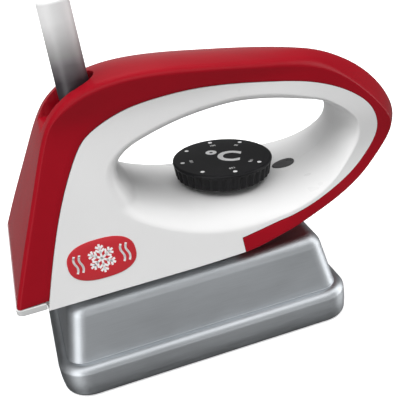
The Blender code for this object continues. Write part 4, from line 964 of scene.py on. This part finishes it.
def build_dial_text(name, word, size, at, turn, bold):
    """Printed word on the dial; bold thickens the strokes by a share of the size."""
    curve = bpy.data.curves.new(name + "_c", "FONT")
    curve.body = word
    curve.size = size * MM
    curve.align_x = "CENTER"
    curve.align_y = "CENTER"
    curve.extrude = 0.03 * MM
    curve.offset = bold * size * MM
    curve.resolution_u = 6
    source = link(bpy.data.objects.new(name + "_t", curve))
    bpy.context.view_layer.update()
    graph = bpy.context.evaluated_depsgraph_get()
    mesh = bpy.data.meshes.new_from_object(source.evaluated_get(graph))
    bpy.data.objects.remove(source, do_unlink=True)
    mesh.name = name
    mesh.transform(Matrix.Translation(Vector(DIAL_TOP) * MM)
                   @ Matrix.Rotation(math.radians(DIAL_TILT), 4, "Y")
                   @ Matrix.Translation(Vector((at[0], at[1], 0.0)) * MM)
                   @ Matrix.Rotation(math.radians(turn), 4, "Z"))
    piece(link(bpy.data.objects.new(name, mesh)), M_INK, "dial", [])


def build_dial():
    build_dial_knob()
    build_spindle()
    for k in range(1, 8):
        build_dial_dot(k)
    for degrees, word in MARKS.items():
        angle = math.radians(degrees)
        at = (MARK_CIRCLE_R * math.cos(angle), MARK_CIRCLE_R * math.sin(angle))
        build_dial_text("dial_mark_" + word, word, size=2.15, at=at, turn=degrees - 90,
                        bold=0.012)
    build_dial_text("dial_sign", "°C", size=17.0, at=(0.0, 0.0), turn=-24, bold=0.030)


# ------------------------------------------------------------ pilot lamp on the saddle
def saddle_z(x):
    """Height of the lower inner centre line at x."""
    samples = (station(17.0 + 11.0 * k / 440) for k in range(441))
    return min(samples, key=lambda row: abs(row[INNER_X] - x))[INNER_Z]


def build_lens():
    rear_x, front_x, half_y = 54.6, 66.4, 4.3
    centre_x = (rear_x + front_x) / 2
    n = 40
    outline = []        # an egg shape, widest behind its middle
    for k in range(2 * n):
        angle = math.pi * k / n
        lean = 1.0 + 0.16 * math.cos(angle)
        outline.append((centre_x - (front_x - rear_x) / 2 * math.cos(angle),
                        half_y * math.sin(angle) * (2.0 - lean)))
    heights = {}        # saddle heights, shared by points at the same x
    layers = [(0.0, 1.0), (0.25, 1.0), (0.42, 0.97), (0.5, 0.90), (0.55, 0.6), (0.57, 0.3)]
    rings = []
    for lift, scale in layers:
        points = []
        for x, y in outline:
            px, py = centre_x + (x - centre_x) * scale, y * scale
            key = round(px, 2)
            if key not in heights:
                heights[key] = saddle_z(px)
            points.append((px, py, heights[key] - 0.004 * py * py + lift))
        rings.append(points)
    piece(loft("lamp_lens", rings), M_LENS, "iron", ["pilot_lamp_lens"])


def build_neon():
    radius, dome_z = 2.3, 61.5
    dome = [(radius * math.sin(math.radians(a)), dome_z + radius * math.cos(math.radians(a)))
            for a in range(10, 91, 10)]
    profile = [(0, dome_z + radius)] + dome + [(radius, 55.4), (2.0, 55.0), (0, 55.0)]
    neon = lathe("neon", profile, 32, (60.0, 0, 0))
    piece(neon, M_GLASS, "iron", ["neon_lamp"])


# ------------------------------------------------------------ cord; heights from the pivot
BOOT_TOP = BOOT_TOP_Z - CORD_PIVOT[2]


def build_boot():
    profile = [(4.0, BOOT_TOP - 0.3), (4.3, BOOT_TOP), (4.6, BOOT_TOP)]
    for k in range(9):
        angle = math.radians(90 - 90 * k / 8)
        profile.append((BOOT_TOP_R - BOOT_EDGE_R + BOOT_EDGE_R * math.cos(angle),
                        BOOT_TOP - BOOT_EDGE_R + BOOT_EDGE_R * math.sin(angle)))
    profile += [(BOOT_R - 0.1, 20.0), (BOOT_R, 14.0), (BOOT_R, 10.4), (BOOT_R - 0.25, 9.4),
                (BOOT_R - 0.9, 8.6), (6.2, 8.4), (4.0, 8.4)]
    boot = lathe("boot", profile, 96, CORD_PIVOT, sharp=50)
    piece(boot, M_BOOT, "cord", ["cord_boot"])


def build_swivel_ball():
    """Ball bored for the cord, with a pin across it along Y."""
    radius, bore, pin_r, pin_end = 7.6, 3.95, 2.1, 9.3
    bore_z = math.sqrt(radius * radius - bore ** 2)
    profile = [(bore, bore_z)]
    for k in range(1, 24):
        angle = math.radians(58.7 - 117.4 * k / 24)
        profile.append((radius * math.cos(angle), radius * math.sin(angle)))
    profile.append((bore, -bore_z))
    ball = lathe("swivel_ball", profile, 64, CORD_PIVOT)
    pin_profile = round_profile([(0, pin_end), (pin_r, pin_end), (pin_r, -pin_end), (0, -pin_end)],
                                [0, 0.3, 0.3, 0])
    pin = lathe("swivel_pin", pin_profile, 40, CORD_PIVOT, axis="Y")
    cut(ball, pin, "UNION")
    drill(ball, radius=bore, top=12.0, bottom=-12.0, seg=64, loc=CORD_PIVOT)
    sharp_by_angle(ball, 40)
    piece(ball, M_BALL, "cord", ["cord_swivel_ball"])


def build_supply_cord():
    top, bottom = BOOT_TOP + 4.2, -6.0
    profile = round_profile([(0, top), (CORD_R, top), (CORD_R, bottom), (0, bottom)],
                            [0, 0.5, 0.5, 0])
    cord = lathe("supply_cord", profile, 48, CORD_PIVOT, sharp=50)
    piece(cord, M_CORD, "cord", ["power_cord"])


def build_cord_cup():
    """Cup under the floor of the channel, with the two seats of the swivel pin."""
    profile = [(8.1, 116.3), (9.6, 116.3), (9.6, 107.6), (9.2, 107.4), (8.1, 107.4)]
    cup = lathe("cord_cup", profile, 96, (CORD_PIVOT[0], 0, 0))
    drill(cup, radius=2.19, top=20.0, bottom=-20.0, seg=48, loc=CORD_PIVOT, axis="Y")
    sharp_by_angle(cup, 40)
    piece(cup, M_RED, "iron", ["cord_well"])


# ------------------------------------------------------------ badges
def badge_mapper(side):
    """Function that places (along, up, lift) on the leaning side face at the badge."""
    slant = math.sqrt(1 + HALF_SLOPE ** 2)
    base = Vector((BADGE_X, side * half_width(BADGE_Z), BADGE_Z))
    along = Vector((1, 0, 0))
    up = Vector((0, -side * HALF_SLOPE / slant, 1 / slant))
    outward = Vector((0, side / slant, HALF_SLOPE / slant))
    return lambda x, z, lift: base + along * x + up * z + outward * lift


def build_badge_plate(tag, on_badge):
    """Superellipse plate with a softened rim."""
    n, power = 120, 2 / 2.5
    layers = [(-0.05, 1.0), (0.12, 1.0), (0.2, 0.994), (0.24, 0.98), (0.24, 0.6), (0.24, 0.2)]
    rings = []
    for lift, scale in layers:
        points = []
        for k in range(n):
            c, s = math.cos(2 * math.pi * k / n), math.sin(2 * math.pi * k / n)
            points.append(on_badge(BADGE_HALF_X * scale * math.copysign(abs(c) ** power, c),
                                   BADGE_HALF_Z * scale * math.copysign(abs(s) ** power, s),
                                   lift))
        rings.append(points)
    obj = loft("badge_" + tag, rings)
    sharp_by_angle(obj, 60)
    piece(obj, M_BADGE, "iron", ["side_badge_" + tag])


def badge_strokes():
    """Snow crystal of six arms with side twigs, and two wave strokes on each side of it."""
    arm = 6.0
    strokes = []
    for k in range(6):
        heading = math.radians(60 * k + 30)
        c, s = math.cos(heading), math.sin(heading)
        strokes.append([(0, 0), (arm * c, arm * s)])
        for share, length in ((0.42, 2.1), (0.70, 1.7)):
            x, z = arm * share * c, arm * share * s
            for sign in (1, -1):
                turn = heading + sign * math.radians(55)
                strokes.append([(x, z), (x + length * math.cos(turn),
                                         z + length * math.sin(turn))])
    for sign in (1, -1):
        for offset in (9.2, 11.6):
            strokes.append([(sign * offset + 0.55 * math.sin(2 * math.pi * u / 12),
                             -3.6 + 7.2 * u / 12) for u in range(13)])
    return strokes


def build_badge_sign(tag, on_badge):
    half_stroke = 0.48
    verts, faces = [], []
    for stroke in badge_strokes():
        for start, end in zip(stroke, stroke[1:]):
            ahead = Vector((end[0] - start[0], end[1] - start[1])).normalized()
            side = Vector((-ahead.y, ahead.x)) * half_stroke
            tip = ahead * half_stroke * 0.6
            quad = [(start[0] - tip.x + side.x, start[1] - tip.y + side.y),
                    (start[0] - tip.x - side.x, start[1] - tip.y - side.y),
                    (end[0] + tip.x - side.x, end[1] + tip.y - side.y),
                    (end[0] + tip.x + side.x, end[1] + tip.y + side.y)]
            k = len(verts)
            verts += [on_badge(x, z, lift) * MM for lift in (0.27, 0.15) for x, z in quad]
            faces += [[k, k + 1, k + 2, k + 3], [k + 7, k + 6, k + 5, k + 4]]
            faces += [[k + i, k + 4 + i, k + 4 + (i + 1) % 4, k + (i + 1) % 4]
                      for i in range(4)]
    sign = mesh_obj("badge_sign_" + tag, verts, faces, smooth=False, merge=0)
    piece(sign, M_INK, "iron", [])


def build_badges():
    for side, tag in ((1, "left"), (-1, "right")):
        on_badge = badge_mapper(side)
        build_badge_plate(tag, on_badge)
        build_badge_sign(tag, on_badge)


# ------------------------------------------------------------ hardware
def screw_profile(seat, shank_r, head_r, head_h, tip):
    """Pan head with a recess, shank with thread rings, cone point; seat and tip are heights."""
    top, edge_r = seat + head_h, 0.9
    profile = [(0, top - 1.4), (1.1, top - 1.3), (1.3, top - 0.05)]
    for k in range(6):
        angle = math.radians(90 - 90 * k / 5)
        profile.append((head_r - edge_r + edge_r * math.cos(angle),
                        top - edge_r + edge_r * math.sin(angle)))
    profile += [(head_r, seat), (shank_r, seat)]
    z = seat - 1.0
    while z > tip + 1.2:
        profile += [(shank_r, z), (shank_r - 0.22, z - 0.35)]
        z -= 0.7
    return profile + [(shank_r - 0.2, tip + 0.8), (0.3, tip), (0, tip)]


def build_standoffs():
    bore, radius = 2.3, 4.0
    top, bottom = HANDLE_Z - 0.35, SOLE_T + 0.35
    tube_profile = round_profile([(bore, top), (radius, top), (radius, bottom), (bore, bottom)],
                                 [0, 0.4, 0.4, 0])
    long_screw = screw_profile(seat=HANDLE_Z + PLATE_T + 0.35, shank_r=1.9, head_r=3.6,
                               head_h=2.6, tip=7.3)
    for key, (x, y) in STANDOFFS.items():
        tube = lathe("standoff_tube_" + key, tube_profile, 48, (x, y, 0), sharp=40)
        # the dark tube colour is painted shade of the gap under the handle
        piece(tube, M_SHADED_TUBE, "iron", ["standoff_" + key])
        screw = lathe("long_screw_" + key, long_screw, 24, (x, y, 0), sharp=35)
        piece(screw, M_STEEL, "iron", ["standoff_screw_" + key])


def build_screws():
    for key, (x, z) in SHELL_SCREWS.items():
        profile = screw_profile(seat=half_width(z) - 5.7, shank_r=1.6, head_r=3.2, head_h=2.4,
                                tip=-13.4)
        screw = lathe("case_screw_" + key, profile, 28, (x, 0, z), axis="Y", sharp=35)
        piece(screw, M_STEEL, "iron", ["shell_screw_" + key])
    profile = screw_profile(seat=26.5, shank_r=1.5, head_r=3.1, head_h=2.4, tip=9.3)
    screw = lathe("clamp_screw", profile, 24, (CLAMP_SCREW_X, 0, 0))
    piece(screw, M_STEEL, "iron", ["element_clamp_screw"])


def build_spindle_fittings():
    profile = round_profile([(2.84, -14.6), (7.0, -14.6), (7.0, -16.4),
                             (5.2, -16.4), (5.2, -20.5), (2.84, -20.5)],
                            [0, 0.3, 0.2, 0, 0.3, 0])
    bushing = lathe("bushing", profile, 64, DIAL_AXIS, DIAL_TILT, sharp=40)
    piece(bushing, M_BRASS, "iron", ["spindle_bushing"])
    thread = [(2.3 - 0.22 * (k % 2), -42.4 - 0.35 * k) for k in range(22)]
    profile = [(0, -42.0), (1.6, -42.0)] + thread + [(1.4, -50.4), (0.9, -50.9), (0, -51.0)]
    adjuster = lathe("adjuster", profile, 32, DIAL_AXIS, DIAL_TILT, sharp=35)
    piece(adjuster, M_BRASS, "adjuster", ["thermostat_adjuster"])


# ------------------------------------------------------------ CAD nodes carried over
CAD_FINISHES = {
    "thermostat_bracket": M_STEEL, "ceramic_stack": M_CERAMIC, "bimetal_strip": M_BIMETAL,
    "fixed_contact": M_BRASS, "contact_arm": M_BRASS, "adjuster_bush": M_STEEL,
    "thermal_fuse": M_CERAMIC, "fuse_clip": M_STEEL, "heating_element": M_SHEATH,
    "element_clamp": M_STEEL, "element_terminal_left": M_BRASS,
    "element_terminal_right": M_BRASS, "insulation_pad": M_FELT, "terminal_block": M_BLOCK,
    "wire_live": M_BROWN, "wire_neutral": M_BLUE, "wire_earth": M_GREEN,
    "element_lead_left": M_SLEEVE, "element_lead_right": M_SLEEVE,
}
CAD_ROUND = {"heating_element", "wire_live", "wire_neutral", "wire_earth",
             "element_lead_left", "element_lead_right"}


def finish_cad():
    """Finishes for the CAD nodes; round ones are subdivided, the others get bevelled edges."""
    for name, material in CAD_FINISHES.items():
        obj = NODES[name]
        obj.data.materials.clear()
        obj.data.materials.append(material)
        if name in CAD_ROUND:
            modifier = obj.modifiers.new("round", "SUBSURF")
            modifier.levels = modifier.render_levels = 1
        else:
            modifier = obj.modifiers.new("soft_edges", "BEVEL")
            modifier.width = 0.15 * MM
            modifier.segments = 2
            modifier.limit_method = "ANGLE"
            modifier.angle_limit = math.radians(40)


# ------------------------------------------------------------ stage and lights
WHITE = (1.0, 1.0, 1.0, 1)
FLOOR_HALF, FLOOR_Z = 6.0, -0.0004      # metres
WORLD_DIFFUSE, WORLD_BACKDROP = 0.37, 1.3
# Reflected studio, brightness against the ray's z, from -1 (down) to 1 (up)
STUDIO_BY_HEIGHT = [
    (-1.0, 0.03), (-0.80, 0.03), (-0.60, 0.16), (-0.42, 0.80), (-0.15, 0.76), (0.02, 0.66),
    (0.2, 0.54), (0.36, 0.46), (0.5, 0.60), (0.68, 1.5), (0.84, 2.0), (0.93, 1.9), (1.0, 0.5)]
# The same against the turn about Z: 0 at +X, 0.25 at +Y
STUDIO_BY_TURN = [
    (0.0, 0.35), (0.09, 0.22), (0.175, 0.28), (0.215, 0.6), (0.28, 0.4), (0.33, 0.07),
    (0.40, 0.2), (0.5, 0.35), (0.575, 0.5), (0.64, 0.95), (0.75, 1.0), (0.86, 0.9),
    (0.93, 0.6), (1.0, 0.35)]
# Two tall strip boxes, against the turn and then against the height from 0 to 1
STRIPS_BY_TURN = [
    (0.0, 2.4), (0.025, 2.2), (0.045, 0.0), (0.525, 0.0), (0.555, 1.7), (0.630, 2.2),
    (0.648, 0.0), (0.925, 0.0), (0.955, 2.4), (1.0, 2.4)]
STRIPS_BY_HEIGHT = [(0.0, 0), (0.18, 0), (0.28, 1), (0.8, 1), (0.9, 0)]


def build_floor():
    s = FLOOR_HALF
    mesh = bpy.data.meshes.new("floor")
    mesh.from_pydata([(-s, -s, 0), (s, -s, 0), (s, s, 0), (-s, s, 0)], [], [[0, 1, 2, 3]])
    floor = link(bpy.data.objects.new("floor", mesh))
    floor.location.z = FLOOR_Z
    material, _, shader = new_material("floor_pale")
    shader.inputs["Base Color"].default_value = (0.93, 0.93, 0.93, 1)
    shader.inputs["Roughness"].default_value = 0.9
    shader.inputs["Specular IOR Level"].default_value = 0.1
    shader.inputs["Emission Color"].default_value = WHITE
    shader.inputs["Emission Strength"].default_value = 0.42
    mesh.materials.append(material)
    floor.visible_diffuse = False
    floor.visible_glossy = False


def vector_math(nt, operation, first, second):
    node = nt.nodes.new("ShaderNodeVectorMath")
    node.operation = operation
    nt.links.new(first, node.inputs[0])
    nt.links.new(second, node.inputs[1])
    return node.outputs[0]


def background(nt, colour, strength):
    node = nt.nodes.new("ShaderNodeBackground")
    node.inputs[0].default_value = colour
    node.inputs[1].default_value = strength
    return node


def mix_shader(nt, fac, first, second):
    node = nt.nodes.new("ShaderNodeMixShader")
    for k, socket in enumerate((fac, first, second)):
        nt.links.new(socket, node.inputs[k])
    return node.outputs[0]


def build_world():
    """Even light for matt surfaces; glossy ones see a dim studio with an overhead panel and
    two strip boxes; the camera sees plain white."""
    world = bpy.data.worlds.new("studio")
    bpy.context.scene.world = world
    world.use_nodes = True
    nt = world.node_tree
    nt.nodes.clear()
    output = nt.nodes.new("ShaderNodeOutputWorld")
    source = nt.nodes.new("ShaderNodeTexCoord")
    split = nt.nodes.new("ShaderNodeSeparateXYZ")
    nt.links.new(source.outputs["Generated"], split.inputs[0])

    height = math_node(nt, "MULTIPLY_ADD", split.outputs["Z"], 0.5, 0.5)
    turn = math_node(nt, "ARCTAN2", split.outputs["Y"], split.outputs["X"])
    for operation in ("ADD", "MODULO", "DIVIDE"):       # wrap to one turn, from 0 to 1
        turn = math_node(nt, operation, turn, 2 * math.pi)
    by_height = grey_ramp(nt, height, [((z + 1) / 2, v) for z, v in STUDIO_BY_HEIGHT])
    by_turn = grey_ramp(nt, turn, STUDIO_BY_TURN)
    strips = grey_ramp(nt, turn, STRIPS_BY_TURN)
    strip_window = grey_ramp(nt, height, STRIPS_BY_HEIGHT)
    room = vector_math(nt, "MULTIPLY", by_height, by_turn)
    boxes = vector_math(nt, "MULTIPLY", strips, strip_window)

    studio = nt.nodes.new("ShaderNodeBackground")
    nt.links.new(vector_math(nt, "ADD", room, boxes), studio.inputs[0])
    studio.inputs[1].default_value = 1.0
    even = background(nt, WHITE, WORLD_DIFFUSE)
    backdrop = background(nt, WHITE, WORLD_BACKDROP)
    path = nt.nodes.new("ShaderNodeLightPath")
    lighting = mix_shader(nt, path.outputs["Is Glossy Ray"], even.outputs[0], studio.outputs[0])
    surface = mix_shader(nt, path.outputs["Is Camera Ray"], lighting, backdrop.outputs[0])
    nt.links.new(surface, output.inputs[0])


def build_sun(name, direction, angle, power):
    """Soft sun shining from the given direction, hidden from reflections."""
    light = bpy.data.lights.new(name, "SUN")
    light.energy = power
    light.angle = math.radians(angle)
    obj = link(bpy.data.objects.new(name, light))
    obj.rotation_euler = (-Vector(direction)).to_track_quat("-Z", "Y").to_euler()
    obj.visible_glossy = False


def build_lights():
    build_sun("key", direction=(0.0, -0.02, 1.0), angle=88, power=3.35)
    build_sun("fill_rear", direction=(-0.9, -0.05, 0.30), angle=60, power=0.7)
    build_sun("fill_front", direction=(-0.35, -0.75, 0.55), angle=60, power=0.15)


# ------------------------------------------------------------ camera
CAMERA_PLACE = (-51.381, -311.257, 222.010)
CAMERA_RIGHT = (0.94733, -0.28127, -0.15315)
CAMERA_UP = (0.26122, 0.40191, 0.87763)
CAMERA_LENS, CAMERA_SENSOR = 64.1115, 36.0


def build_camera():
    camera = bpy.data.cameras.new("camera")
    camera.sensor_fit = "HORIZONTAL"
    camera.sensor_width = CAMERA_SENSOR
    camera.lens = CAMERA_LENS
    camera.clip_start = 0.01
    camera.clip_end = 50.0
    obj = link(bpy.data.objects.new("camera", camera))
    right = Vector(CAMERA_RIGHT).normalized()
    back = right.cross(Vector(CAMERA_UP).normalized()).normalized()
    up = back.cross(right).normalized()
    matrix = Matrix((right, up, back)).transposed().to_4x4()
    matrix.translation = Vector(CAMERA_PLACE) * MM
    obj.matrix_world = matrix
    bpy.context.scene.camera = obj
    bpy.context.scene.view_settings.view_transform = "Standard"


build_sole()
build_cover()
build_rim()
build_shells()
build_bottom()
build_dial()
build_lens()
build_neon()
build_boot()
build_swivel_ball()
build_supply_cord()
build_cord_cup()
build_badges()
build_standoffs()
build_screws()
build_spindle_fittings()
finish_cad()
build_floor()
build_world()
build_lights()
build_camera()
